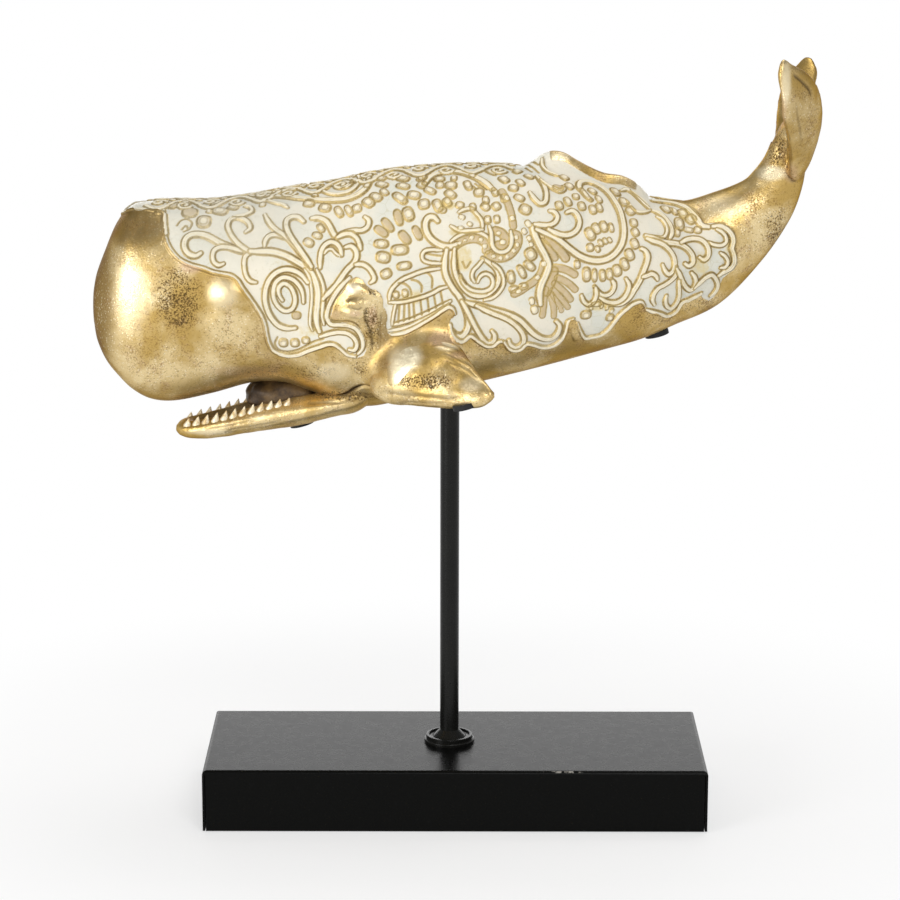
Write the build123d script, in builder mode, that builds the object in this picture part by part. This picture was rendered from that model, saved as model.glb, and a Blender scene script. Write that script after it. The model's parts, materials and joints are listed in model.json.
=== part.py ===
from build123d import *
import os
from math import atan2, copysign, cos, degrees, pi, radians, sin

os.makedirs("parts", exist_ok=True)

# A whale figurine on a round post over a low box base, in millimetres.
# The origin is the middle of the face the object rests on. X runs along the base, with the
# whale's head towards minus X. Z is up, and minus Y is the side that faces the viewer.

# Base
base_wide = 250.0
base_deep = 100.0
base_tall = 31.6            # resting plane to the top of the cover
sheet_thick = 1.2           # steel sheet of the cover
bend_radius = 2.0           # outside of the folded edges
seam_width = 0.4            # open seam beside each folded corner
felt_thick = 1.5
felt_proud = 0.6            # the felt stands below the cover by this much
board_gap = 0.3             # board and felt to the cover's flanges
board_ease = 1.4            # bevel that clears the inside of the bends
recess_dia = 30.0           # counterbore in the board
recess_roof = 9.0           # board left above the counterbore

# Post and what holds it
post_dia = 9.5
post_aside = -2.9           # post axis from the middle of the base, along X
flare_dia = 17.0
flare_tall = 3.6
stud_dia = 8.0
stud_room = 0.4             # added to the stud for every clear hole
fit_gap = 0.1               # all round between pieces that are glued or screwed
ring_dia = 25.4
ring_thick = 1.6
dish_dia = 23.6
dish_thick = 1.1
dish_rim_tall = 0.9
dish_rim_wide = 1.5
washer_dia = 24.0
washer_thick = 1.8
spring_dia = 13.6
spring_thick = 2.0
spring_split = 1.0
nut_flats = 13.0
nut_thick = 6.5
stud_tail = 2.0             # stud beyond the nut

# Whale
whale_long = 356.0          # nose to the back of the tail bend
whale_tall = 116.0
whale_wide = 78.0
nose_x = -177.9
belly_ref = 205.0           # height of the throat over the resting plane
wall_thick = 6.0
plug_dia = 34.0             # block in the pour hole of the belly
plug_tall = 26.0
post_sink = 5.0             # the post enters the plug by this much
insert_dia = 12.0
insert_tall = 14.0
stud_reach = 12.0           # upper stud in the insert
brow_radius = 16.0
ridge_wide = 9.0
pad_dia = 12.0
pad_thick = 2.6
tooth_dia = 2.7
tooth_tall = 2.4            # above the gum
tooth_sink = 1.3            # into the gum
tooth_tip_dia = 0.5
flipper_chord = 36.0
flipper_thick = 17.0
fluke_tall = 62.0
fluke_span = 84.0
fluke_chord = 27.0
fluke_thick = 9.0
cut_over = 1.0              # cuts run past a face by this much

# Sections from nose to tail: place along the length, height of the widest level, reach above
# it and below it, half width, lean of the section in degrees, and squareness.
body_shares = [
    (0.0003, 0.440, 0.086, 0.090, 0.118, 0, 2.0),
    (0.0048, 0.436, 0.151, 0.155, 0.190, 0, 2.1),
    (0.0166, 0.440, 0.241, 0.237, 0.277, 0, 2.2),
    (0.0334, 0.457, 0.340, 0.318, 0.350, 0, 2.3),
    (0.0530, 0.468, 0.399, 0.386, 0.397, 0, 2.4),
    (0.0784, 0.461, 0.423, 0.419, 0.429, 0, 2.4),
    (0.1121, 0.461, 0.428, 0.425, 0.449, 0, 2.4),
    (0.1626, 0.478, 0.412, 0.409, 0.456, 0, 2.4),
    (0.2188, 0.509, 0.403, 0.394, 0.462, 0, 2.3),
    (0.2610, 0.526, 0.408, 0.410, 0.474, 0, 2.3),
    (0.2975, 0.526, 0.429, 0.448, 0.481, 0, 2.2),
    (0.3368, 0.513, 0.461, 0.483, 0.494, 0, 2.2),
    (0.3817, 0.509, 0.497, 0.498, 0.500, 0, 2.2),
    (0.4435, 0.534, 0.498, 0.483, 0.506, 0, 2.2),
    (0.5278, 0.573, 0.471, 0.459, 0.500, 0, 2.2),
    (0.6121, 0.603, 0.428, 0.424, 0.474, 0, 2.2),
    (0.6963, 0.621, 0.371, 0.366, 0.417, 4, 2.1),
    (0.7441, 0.622, 0.325, 0.322, 0.384, 7, 2.1),
    (0.7877, 0.630, 0.276, 0.270, 0.340, 10, 2.1),
    (0.8385, 0.672, 0.232, 0.232, 0.258, 20, 2.0),
    (0.8899, 0.787, 0.175, 0.176, 0.186, 35, 2.0),
    (0.9236, 0.884, 0.132, 0.133, 0.141, 47, 2.0),
    (0.9370, 0.945, 0.116, 0.117, 0.127, 53, 2.0),
    (0.9469, 1.010, 0.101, 0.102, 0.115, 58, 2.0),
    (0.9518, 1.060, 0.091, 0.091, 0.107, 63, 2.0),
    (0.9548, 1.109, 0.081, 0.081, 0.100, 68, 2.0),
]
hollow_first = 3            # the hollow runs from this section
hollow_last = 18            # to this one
ring_points = 16

# Crest of the back ridge: place along the length and height over the throat
crest_shares = [
    (0.588, 1.030), (0.604, 1.060), (0.618, 1.090), (0.632, 1.100), (0.648, 1.092),
    (0.665, 1.062), (0.682, 1.034), (0.700, 1.010), (0.732, 0.990), (0.752, 0.955),
    (0.776, 0.870),
]
crest_foot_share = 0.80

# Lower jaw from tip to hinge: place along, level, half height, half width
jaw_shares = [
    (0.1100, -0.094, 0.012, 0.040),
    (0.1180, -0.092, 0.034, 0.090),
    (0.1345, -0.089, 0.048, 0.130),
    (0.1680, -0.073, 0.059, 0.165),
    (0.2020, -0.049, 0.064, 0.190),
    (0.2380, -0.024, 0.073, 0.215),
    (0.2800, 0.003, 0.078, 0.250),
    (0.3300, 0.040, 0.073, 0.290),
    (0.3650, 0.075, 0.083, 0.300),
    (0.4000, 0.132, 0.058, 0.240),
]
trough_top_share = 0.95     # how far the trough reaches up past the jaw's level
trough_wide_share = 0.62    # of the jaw's half width
trough_deep_share = 0.20    # trough floor over the jaw's level, of the half height
tooth_count = 12            # in each of the two rows
tooth_first_share = 0.131
tooth_last_share = 0.262
tooth_out_share = 0.80      # tooth row, of the jaw's half width

# Left flipper: place along, distance out, level, half chord, half thickness, tilt in degrees
flipper_shares = [
    (0.386, 0.420, 0.165, 0.11, 0.20, 66),
    (0.396, 0.440, 0.190, 0.28, 0.32, 66),
    (0.416, 0.481, 0.221, 0.44, 0.44, 65),
    (0.449, 0.541, 0.231, 0.49, 0.50, 60),
    (0.483, 0.590, 0.224, 0.49, 0.47, 54),
    (0.511, 0.650, 0.200, 0.39, 0.38, 51),
    (0.531, 0.724, 0.172, 0.24, 0.29, 50),
    (0.545, 0.779, 0.164, 0.10, 0.18, 60),
    (0.551, 0.785, 0.163, 0.03, 0.07, 60),
]

# Tail lobes, from the end of the stock: back, out and up, then half chord and half thickness
left_lobe_shares = [
    (0.030, -0.050, -0.250, 0.14, 0.30),
    (0.075, -0.130, -0.040, 0.34, 0.44),
    (0.080, -0.255, 0.240, 0.48, 0.50),
    (0.008, -0.369, 0.465, 0.51, 0.47),
    (-0.092, -0.446, 0.650, 0.26, 0.34),
    (-0.128, -0.476, 0.748, 0.11, 0.20),
]
right_lobe_shares = [
    (0.000, 0.050, -0.230, 0.14, 0.30),
    (0.020, 0.150, 0.030, 0.28, 0.40),
    (0.062, 0.285, 0.245, 0.33, 0.44),
    (0.113, 0.381, 0.408, 0.38, 0.44),
    (0.178, 0.452, 0.545, 0.30, 0.38),
    (0.206, 0.482, 0.635, 0.13, 0.22),
]
lobe_turn = 50.0            # degrees between a lobe's chord and the whale's length
# Hub between the lobes: back and up from the stock's end, half width, half depth, lean
hub_shares = [
    (-0.030, -0.110, 0.066, 0.27, 66),
    (0.012, 0.030, 0.130, 0.315, 69),
    (0.030, 0.120, 0.180, 0.27, 74),
    (0.050, 0.215, 0.190, 0.19, 78),
]

# Places of the pads
pad_jaw_share = (0.2837, -0.0570)      # along, height of the seat over the throat
pad_belly_share = (0.7772, 0.3350)
pad_flipper_share = (0.511, 0.735)     # along, distance out
brow_share = (0.3677, 0.340, 0.503)    # along, out, level


def whale_spot(along, out, level):
    return (nose_x + along * whale_long, out * whale_wide, belly_ref + level * whale_tall)


def section_plane(row):
    tilt = radians(row[5])
    spot = whale_spot(row[0], 0, row[1])
    return Plane(origin=spot, x_dir=(0, 1, 0), z_dir=(cos(tilt), 0, sin(tilt)))


def section_ring(row, skin):
    up, down, wide, square = row[2], row[3], row[4], row[6]
    spots = []
    for step in range(ring_points):
        turn = 2 * pi * step / ring_points
        side = copysign(abs(cos(turn)) ** (2 / square), cos(turn))
        rise = copysign(abs(sin(turn)) ** (2 / square), sin(turn))
        reach = (up if rise > 0 else down) * whale_tall - skin
        spots.append((side * (wide * whale_wide - skin), rise * reach))
    return spots


# Outer shape of the body, which shapes everything that sits on it
with BuildPart() as body_form:
    for row in body_shares:
        with BuildSketch(section_plane(row)):
            with BuildLine():
                Spline(*section_ring(row, 0), periodic=True)
            make_face()
    loft()

# The belly's height over the post
with BuildPart() as belly_probe:
    with BuildSketch(Plane.XY.offset(belly_ref - whale_tall)):
        with Locations((post_aside, 0)):
            Circle(fit_gap)
    extrude(amount=2 * whale_tall)
    add(body_form.part, mode=Mode.INTERSECT)
belly_z = belly_probe.part.bounding_box().min.Z
shoulder_z = belly_z + post_sink

# Seat plane of the pads, which lie in one slanted plane
pad_front = whale_spot(pad_jaw_share[0], 0, pad_jaw_share[1])
pad_back = whale_spot(pad_belly_share[0], 0, pad_belly_share[1])
pad_lean = atan2(pad_back[2] - pad_front[2], pad_back[0] - pad_front[0])
pad_normal = (-sin(pad_lean), 0, cos(pad_lean))


def pad_plane(along, out):
    x = nose_x + along * whale_long
    z = pad_front[2] + (x - pad_front[0]) * (pad_normal[0] / -pad_normal[2])
    return Plane(origin=(x, out * whale_wide, z), x_dir=(0, 1, 0), z_dir=pad_normal)


def make_pad(label, along, out):
    with BuildPart() as pad:
        with BuildSketch(pad_plane(along, out)):
            Circle(pad_dia / 2)
        extrude(amount=-pad_thick)
    pad.part.label = label
    return pad


def pad_seat(along, out):
    with BuildPart() as seat:
        with BuildSketch(pad_plane(along, out)):
            Circle(pad_dia / 2 + fit_gap)
        extrude(amount=-pad_thick - cut_over)
    return seat.part


pads = [
    make_pad("pad_jaw", pad_jaw_share[0], 0),
    make_pad("pad_belly", pad_belly_share[0], 0),
    make_pad("pad_flipper_left", pad_flipper_share[0], -pad_flipper_share[1]),
    make_pad("pad_flipper_right", pad_flipper_share[0], pad_flipper_share[1]),
]

# Whale body: a hollow casting with a ridge on its back and a brow over each eye
with BuildPart() as hollow:
    for row in body_shares[hollow_first:hollow_last + 1]:
        with BuildSketch(section_plane(row)):
            with BuildLine():
                Spline(*section_ring(row, wall_thick), periodic=True)
            make_face()
    loft()

with BuildPart() as whale_body:
    add(body_form.part)
    crest = [whale_spot(along, 0, level) for along, level in crest_shares]
    foot_z = belly_ref + crest_foot_share * whale_tall
    with BuildSketch(Plane.XZ):
        with BuildLine():
            Spline(*[(spot[0], spot[2]) for spot in crest])
            Polyline(
                (crest[-1][0], crest[-1][2]), (crest[-1][0], foot_z),
                (crest[0][0], foot_z), (crest[0][0], crest[0][2]),
            )
        make_face()
    extrude(amount=ridge_wide / 2, both=True)
    brow = whale_spot(*brow_share)
    with Locations((brow[0], brow[1], brow[2]), (brow[0], -brow[1], brow[2])):
        Sphere(brow_radius)
    add(hollow.part, mode=Mode.SUBTRACT)
    with BuildSketch(Plane.XY.offset(belly_z - plug_tall)):
        with Locations((post_aside, 0)):
            Circle(plug_dia / 2 + fit_gap)
    extrude(amount=2 * plug_tall, mode=Mode.SUBTRACT)
    add(pad_seat(pad_belly_share[0], 0), mode=Mode.SUBTRACT)

# Plug of the pour hole, flush with the belly
with BuildPart() as belly_plug:
    with BuildSketch(Plane.XY.offset(belly_z - plug_tall)):
        with Locations((post_aside, 0)):
            Circle(plug_dia / 2)
    extrude(amount=2 * plug_tall)
    add(body_form.part, mode=Mode.INTERSECT)
    with BuildSketch(Plane.XY.offset(belly_z - plug_tall)):
        with Locations((post_aside, 0)):
            Circle(post_dia / 2 + fit_gap)
    extrude(amount=plug_tall + post_sink, mode=Mode.SUBTRACT)
    with BuildSketch(Plane.XY.offset(shoulder_z)):
        with Locations((post_aside, 0)):
            Circle(insert_dia / 2)
    extrude(amount=insert_tall, mode=Mode.SUBTRACT)

with BuildPart() as threaded_insert:
    with BuildSketch(Plane.XY.offset(shoulder_z)):
        with Locations((post_aside, 0)):
            Circle(insert_dia / 2)
            Circle(stud_dia / 2 + fit_gap, mode=Mode.SUBTRACT)
    extrude(amount=insert_tall)


on_foot = (Align.CENTER, Align.CENTER, Align.MIN)


def jaw_at(along):
    last = len(jaw_shares) - 1
    spot = next((i for i in range(1, last) if jaw_shares[i][0] > along), last)
    low, high = jaw_shares[spot - 1], jaw_shares[spot]
    share = (along - low[0]) / (high[0] - low[0])
    return [a + (b - a) * share for a, b in zip(low, high)]


# Lower jaw: glued under the throat, with a trough and a row of teeth along each rim
with BuildPart() as lower_jaw:
    for along, level, tall, wide in jaw_shares:
        with BuildSketch(Plane(origin=whale_spot(along, 0, level), x_dir=(0, 1, 0), z_dir=(1, 0, 0))):
            Ellipse(wide * whale_wide, tall * whale_tall)
    loft()
    for along, level, tall, wide in jaw_shares[2:]:
        rise = tall * (trough_deep_share + trough_top_share)
        spot = whale_spot(along, 0, level + rise)
        with BuildSketch(Plane(origin=spot, x_dir=(0, 1, 0), z_dir=(1, 0, 0))):
            Ellipse(trough_wide_share * wide * whale_wide, trough_top_share * tall * whale_tall)
    loft(mode=Mode.SUBTRACT)
    for step in range(tooth_count):
        place = step / (tooth_count - 1)
        place = tooth_first_share + (tooth_last_share - tooth_first_share) * place
        along, level, tall, wide = jaw_at(place)
        out = tooth_out_share * wide
        rim = level + tall * (1 - tooth_out_share ** 2) ** 0.5
        x, y, z = whale_spot(along, out, rim)
        with Locations((x, y, z - tooth_sink), (x, -y, z - tooth_sink)):
            Cone(tooth_dia / 2, tooth_tip_dia / 2, tooth_tall + tooth_sink, align=on_foot)
    add(body_form.part, mode=Mode.SUBTRACT)
    add(pad_seat(pad_jaw_share[0], 0), mode=Mode.SUBTRACT)

# Flippers, glued to the flanks
def make_flipper(side):
    with BuildPart() as flipper:
        for along, out, level, chord, thick, tilt in flipper_shares:
            turn = radians(tilt)
            spot = whale_spot(along, side * out, level)
            slant = (0, -side * cos(turn), sin(turn))
            with BuildSketch(Plane(origin=spot, x_dir=slant, z_dir=(1, 0, 0))):
                Ellipse(chord * flipper_chord, thick * flipper_thick)
        loft()
        add(body_form.part, mode=Mode.SUBTRACT)
        add(pad_seat(pad_flipper_share[0], side * pad_flipper_share[1]), mode=Mode.SUBTRACT)
    return flipper


flipper_left = make_flipper(-1)
flipper_right = make_flipper(1)

# Tail flukes: two lobes on a short hub, glued on the end of the stock
stock_end = section_plane(body_shares[-1])


def lobe_spots(shares):
    spots = []
    for back, out, up, chord, thick in shares:
        x = stock_end.origin.X + back * fluke_tall
        z = stock_end.origin.Z + up * fluke_tall
        spots.append(Vector(x, out * fluke_span, z))
    return spots


def make_lobe(shares, side):
    spots = lobe_spots(shares)
    with BuildPart() as lobe:
        for i, spot in enumerate(spots):
            course = spots[min(i + 1, len(spots) - 1)] - spots[max(i - 1, 0)]
            turn = radians(lobe_turn)
            chord_dir = Vector(-cos(turn), side * sin(turn), 0)
            with BuildSketch(Plane(origin=spot, x_dir=chord_dir, z_dir=course)):
                Ellipse(shares[i][3] * fluke_chord, shares[i][4] * fluke_thick)
        loft()
    return lobe.part


left_lobe = make_lobe(left_lobe_shares, -1)
right_lobe = make_lobe(right_lobe_shares, 1)

with BuildPart() as tail_flukes:
    for back, up, wide, deep, lean in hub_shares:
        tilt = radians(lean)
        x = stock_end.origin.X + back * fluke_tall
        z = stock_end.origin.Z + up * fluke_tall
        across = Plane(origin=(x, 0, z), x_dir=(0, 1, 0), z_dir=(cos(tilt), 0, sin(tilt)))
        with BuildSketch(across):
            Ellipse(wide * fluke_span, deep * fluke_chord)
    loft()
    add(left_lobe)
    add(right_lobe)
    split(bisect_by=stock_end)

# Base cover: a folded sheet box, open below, with open seams beside its corners
cover_tall = base_tall - felt_proud
cover_roof = base_tall - sheet_thick
with BuildPart() as base_cover:
    with BuildSketch(Plane.XY.offset(felt_proud)):
        Rectangle(base_wide, base_deep)
    extrude(amount=cover_tall)
    fillet(base_cover.faces().sort_by(Axis.Z)[-1].edges(), radius=bend_radius)
    offset(amount=-sheet_thick, openings=base_cover.faces().sort_by(Axis.Z)[0])
    seam_x = base_wide / 2 - sheet_thick - seam_width / 2
    seam_y = base_deep / 2 - sheet_thick / 2
    with BuildSketch(Plane.XY.offset(felt_proud - cut_over)):
        with GridLocations(2 * seam_x, 2 * seam_y, 2, 2):
            Rectangle(seam_width, sheet_thick + 2 * fit_gap)
    extrude(amount=cover_tall + cut_over - bend_radius, mode=Mode.SUBTRACT)
    with BuildSketch(Plane.XY.offset(cover_roof - cut_over)):
        with Locations((post_aside, 0)):
            Circle((stud_dia + stud_room) / 2)
    extrude(amount=sheet_thick + 2 * cut_over, mode=Mode.SUBTRACT)

# Board inside the cover, with a counterbore for the washers and the nut
board_wide = base_wide - 2 * (sheet_thick + board_gap)
board_deep = base_deep - 2 * (sheet_thick + board_gap)
recess_z = cover_roof - recess_roof
with BuildPart() as base_board:
    with BuildSketch(Plane.XY.offset(felt_thick)):
        Rectangle(board_wide, board_deep)
    extrude(amount=cover_roof - felt_thick)
    chamfer(base_board.faces().sort_by(Axis.Z)[-1].edges(), length=board_ease)
    with BuildSketch(Plane.XY.offset(felt_thick - cut_over)):
        with Locations((post_aside, 0)):
            Circle((stud_dia + stud_room) / 2)
    extrude(amount=base_tall, mode=Mode.SUBTRACT)
    with BuildSketch(Plane.XY.offset(felt_thick - cut_over)):
        with Locations((post_aside, 0)):
            Circle(recess_dia / 2)
    extrude(amount=recess_z - felt_thick + cut_over, mode=Mode.SUBTRACT)

with BuildPart() as base_felt:
    with BuildSketch(Plane.XY):
        Rectangle(board_wide, board_deep)
    extrude(amount=felt_thick)

# Rings under the post's flare
dish_z = base_tall + ring_thick
flare_z = dish_z + dish_thick
with BuildPart() as seat_ring:
    with BuildSketch(Plane.XY.offset(base_tall)):
        with Locations((post_aside, 0)):
            Circle(ring_dia / 2)
            Circle((stud_dia + stud_room) / 2, mode=Mode.SUBTRACT)
    extrude(amount=ring_thick)
    fillet(seat_ring.faces().sort_by(Axis.Z)[-1].edges().sort_by(SortBy.RADIUS)[-1], radius=ring_thick / 3)

with BuildPart() as dished_washer:
    with BuildSketch(Plane.XY.offset(dish_z)):
        with Locations((post_aside, 0)):
            Circle(dish_dia / 2)
            Circle((stud_dia + stud_room) / 2, mode=Mode.SUBTRACT)
    extrude(amount=dish_thick + dish_rim_tall)
    with BuildSketch(Plane.XY.offset(flare_z)):
        with Locations((post_aside, 0)):
            Circle(dish_dia / 2 - dish_rim_wide)
    extrude(amount=dish_rim_tall + cut_over, mode=Mode.SUBTRACT)
    fillet(dished_washer.faces().sort_by(Axis.Z)[-1].edges(), radius=dish_rim_tall / 3)

# Post: a stud, the flare, the rod and the upper stud
washer_z = recess_z - washer_thick
spring_z = washer_z - spring_thick
nut_z = spring_z - nut_thick
stud_foot = nut_z - stud_tail
with BuildPart() as post:
    for low, high, wide in (
        (stud_foot, flare_z, stud_dia),
        (flare_z, shoulder_z, post_dia),
        (shoulder_z, shoulder_z + stud_reach, stud_dia),
    ):
        with BuildSketch(Plane.XY.offset(low)):
            with Locations((post_aside, 0)):
                Circle(wide / 2)
        extrude(amount=high - low)
    with BuildSketch(Plane.XY.offset(flare_z)):
        with Locations((post_aside, 0)):
            Circle(flare_dia / 2)
    with BuildSketch(Plane.XY.offset(flare_z + flare_tall)):
        with Locations((post_aside, 0)):
            Circle(post_dia / 2)
    loft()

# Washer, spring washer and nut under the board
with BuildPart() as flat_washer:
    with BuildSketch(Plane.XY.offset(washer_z)):
        with Locations((post_aside, 0)):
            Circle(washer_dia / 2)
            Circle((stud_dia + stud_room) / 2, mode=Mode.SUBTRACT)
    extrude(amount=washer_thick)

with BuildPart() as spring_washer:
    with BuildSketch(Plane.XY.offset(spring_z)):
        with Locations((post_aside, 0)):
            Circle(spring_dia / 2)
            Circle((stud_dia + stud_room) / 2, mode=Mode.SUBTRACT)
        with Locations((post_aside, spring_dia / 2)):
            Rectangle(spring_split, spring_dia, mode=Mode.SUBTRACT)
    extrude(amount=spring_thick)

with BuildPart() as hex_nut:
    with BuildSketch(Plane.XY.offset(nut_z)):
        with Locations((post_aside, 0)):
            RegularPolygon(nut_flats / 2, 6, major_radius=False)
            Circle(stud_dia / 2 + fit_gap, mode=Mode.SUBTRACT)
    extrude(amount=nut_thick)

for label, piece in (
    ("whale_body", whale_body), ("belly_plug", belly_plug), ("threaded_insert", threaded_insert),
    ("lower_jaw", lower_jaw), ("flipper_left", flipper_left), ("flipper_right", flipper_right),
    ("tail_flukes", tail_flukes), ("post", post), ("dished_washer", dished_washer),
    ("seat_ring", seat_ring), ("base_cover", base_cover), ("base_board", base_board),
    ("flat_washer", flat_washer), ("spring_washer", spring_washer), ("hex_nut", hex_nut),
    ("base_felt", base_felt),
):
    piece.part.label = label
    export_step(piece.part, f"parts/{label}.step")

for pad in pads:
    export_step(pad.part, f"parts/{pad.part.label}.step")
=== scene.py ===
import json
import math

import bmesh
import bpy
import numpy as np
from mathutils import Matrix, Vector, noise
from mathutils.bvhtree import BVHTree


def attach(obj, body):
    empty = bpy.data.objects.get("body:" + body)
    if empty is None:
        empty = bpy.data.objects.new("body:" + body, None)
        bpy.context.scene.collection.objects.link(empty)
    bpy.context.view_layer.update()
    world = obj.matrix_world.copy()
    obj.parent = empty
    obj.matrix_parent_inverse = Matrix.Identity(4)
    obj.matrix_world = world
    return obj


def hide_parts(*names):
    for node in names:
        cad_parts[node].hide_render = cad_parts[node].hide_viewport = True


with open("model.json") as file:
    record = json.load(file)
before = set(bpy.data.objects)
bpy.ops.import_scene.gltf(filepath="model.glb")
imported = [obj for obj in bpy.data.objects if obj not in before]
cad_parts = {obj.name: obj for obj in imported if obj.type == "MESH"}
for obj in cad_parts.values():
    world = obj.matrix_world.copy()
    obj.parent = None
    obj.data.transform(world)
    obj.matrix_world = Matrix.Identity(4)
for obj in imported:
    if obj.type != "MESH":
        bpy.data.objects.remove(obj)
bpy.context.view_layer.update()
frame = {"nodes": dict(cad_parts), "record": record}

mm = 0.001
slots = {row["node"]: row["material_slot"] for row in frame["record"]["subparts"]}

# camera of the photograph, solved from the base's corners
shot = {
    "lensPixels": 3166.0,     # focal length in pixels of the 900 px frame
    "frame": 900.0,
    "sensor": 36.0,
    "place": (-2.8, -1537.0, 535.0),
    "pitch": 12.90,           # degrees below the horizon
    "roll": -0.10,
}
shotPitch = math.radians(shot["pitch"])
shotRoll = math.radians(shot["roll"])
shotPlace = np.array(shot["place"])
shotHalf = shot["frame"] / 2


def toPixels(spots):
    # where points of the row frame, in mm, fall in the photograph
    rel = np.asarray(spots, float) - shotPlace
    depth = rel[..., 1] * math.cos(shotPitch) - rel[..., 2] * math.sin(shotPitch)
    up = rel[..., 1] * math.sin(shotPitch) + rel[..., 2] * math.cos(shotPitch)
    u, v = shot["lensPixels"] * rel[..., 0] / depth, shot["lensPixels"] * up / depth
    c, s = math.cos(shotRoll), math.sin(shotRoll)
    return np.stack([shotHalf + c * u + s * v, shotHalf + s * u - c * v], -1)


def pixelRay(x, y):
    # direction of the camera's line of sight through a pixel
    c, s = math.cos(shotRoll), math.sin(shotRoll)
    a, b = x - shotHalf, shotHalf - y
    u, v = c * a - s * b, s * a + c * b
    cp, sp, f = math.cos(shotPitch), math.sin(shotPitch), shot["lensPixels"]
    return Vector((u, cp * f + sp * v, -sp * f + cp * v)).normalized()


# shape of the whale, as in the part's source, in mm
whale = {
    "long": 356.0, "tall": 116.0, "wide": 78.0, "noseX": -177.9, "bellyRef": 205.0,
    # along, level, up, down, half width, lean, squareness
    "sections": [
        (0.0003, 0.440, 0.086, 0.090, 0.118, 0, 2.0), (0.0048, 0.436, 0.151, 0.155, 0.190, 0, 2.1),
        (0.0166, 0.440, 0.241, 0.237, 0.277, 0, 2.2), (0.0334, 0.457, 0.340, 0.318, 0.350, 0, 2.3),
        (0.0530, 0.468, 0.399, 0.386, 0.397, 0, 2.4), (0.0784, 0.461, 0.423, 0.419, 0.429, 0, 2.4),
        (0.1121, 0.461, 0.428, 0.425, 0.449, 0, 2.4), (0.1626, 0.478, 0.412, 0.409, 0.456, 0, 2.4),
        (0.2188, 0.509, 0.403, 0.394, 0.462, 0, 2.3), (0.2610, 0.526, 0.408, 0.410, 0.474, 0, 2.3),
        (0.2975, 0.526, 0.429, 0.448, 0.481, 0, 2.2), (0.3368, 0.513, 0.461, 0.483, 0.494, 0, 2.2),
        (0.3817, 0.509, 0.497, 0.498, 0.500, 0, 2.2), (0.4435, 0.534, 0.498, 0.483, 0.506, 0, 2.2),
        (0.5278, 0.573, 0.471, 0.459, 0.500, 0, 2.2), (0.6121, 0.603, 0.428, 0.424, 0.474, 0, 2.2),
        (0.6963, 0.621, 0.371, 0.366, 0.417, 4, 2.1), (0.7441, 0.622, 0.325, 0.322, 0.384, 7, 2.1),
        (0.7877, 0.630, 0.276, 0.270, 0.340, 10, 2.1), (0.8385, 0.672, 0.232, 0.232, 0.258, 20, 2.0),
        (0.8899, 0.787, 0.175, 0.176, 0.186, 35, 2.0), (0.9236, 0.884, 0.132, 0.133, 0.141, 47, 2.0),
        (0.9370, 0.945, 0.116, 0.117, 0.127, 53, 2.0), (0.9469, 1.010, 0.101, 0.102, 0.115, 58, 2.0),
        (0.9518, 1.060, 0.091, 0.091, 0.107, 63, 2.0), (0.9548, 1.109, 0.081, 0.081, 0.100, 68, 2.0),
    ],
    # back ridge: along, level
    "crest": [
        (0.575, 1.000), (0.588, 1.030), (0.604, 1.060), (0.618, 1.090), (0.632, 1.100), (0.648, 1.092),
        (0.665, 1.062), (0.682, 1.034), (0.700, 1.010), (0.732, 0.990), (0.752, 0.955), (0.776, 0.870),
    ],
    "crestWide": 5.2, "crestFoot": 13.0, "crestFootShare": 0.16, "crestReach": 25.0,
    "brow": (0.3677, 0.340, 0.503), "browRadius": 16.0, "browSoft": 1.2,
    "noseReach": 9.0, "noseDeep": 0.25,
    "step": 0.50,              # grid spacing of the skin
    "quickStep": 0.95,
    "splits": (0.26, 0.50, 0.74),      # the skin is split here, along the length
}
gridStep = whale["step"]


def spotAt(along, out, level):
    # a point in mm from shares of the whale's length, width and height
    return np.array([
        whale["noseX"] + along * whale["long"], out * whale["wide"], whale["bellyRef"] + level * whale["tall"]])


def hermite(xs, ys, x):
    # smooth curve through uneven points, with slopes from their neighbours
    xs, ys = np.asarray(xs, float), np.asarray(ys, float)
    steps = np.diff(xs)
    chords = np.diff(ys) / steps
    slopes = np.empty(len(xs))
    slopes[0], slopes[-1] = chords[0], chords[-1]
    slopes[1:-1] = (chords[:-1] * steps[1:] + chords[1:] * steps[:-1]) / (steps[:-1] + steps[1:])
    i = np.clip(np.searchsorted(xs, x) - 1, 0, len(xs) - 2)
    t = (x - xs[i]) / steps[i]
    a, b = ys[i], ys[i + 1]
    return ((2 * t**3 - 3 * t**2 + 1) * a + (t**3 - 2 * t**2 + t) * steps[i] * slopes[i]
            + (3 * t**2 - 2 * t**3) * b + (t**3 - t**2) * steps[i] * slopes[i + 1])


def rowsAt(table, places):
    # rows of a table, smooth between the given ones, at places counted in rows
    table = np.array(table, float)
    index = np.arange(len(table), dtype=float)
    return np.stack([hermite(index, table[:, k], places) for k in range(table.shape[1])], -1)


sectionTable = np.array(whale["sections"])


def halfRing(row, turns):
    # the left half of a section, from the top of the back to the belly
    along, level, up, down, wide, lean, square = row
    c, s = np.cos(turns), np.sin(turns)
    side = np.abs(c) ** (2 / square)
    rise = np.sign(s) * np.abs(s) ** (2 / square)
    reach = np.where(rise > 0, up, down) * whale["tall"] * rise
    tilt = math.radians(lean)
    x0, _, z0 = spotAt(along, 0, level)
    return np.stack([x0 - math.sin(tilt) * reach, -side * wide * whale["wide"], z0 + math.cos(tilt) * reach], -1)


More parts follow.
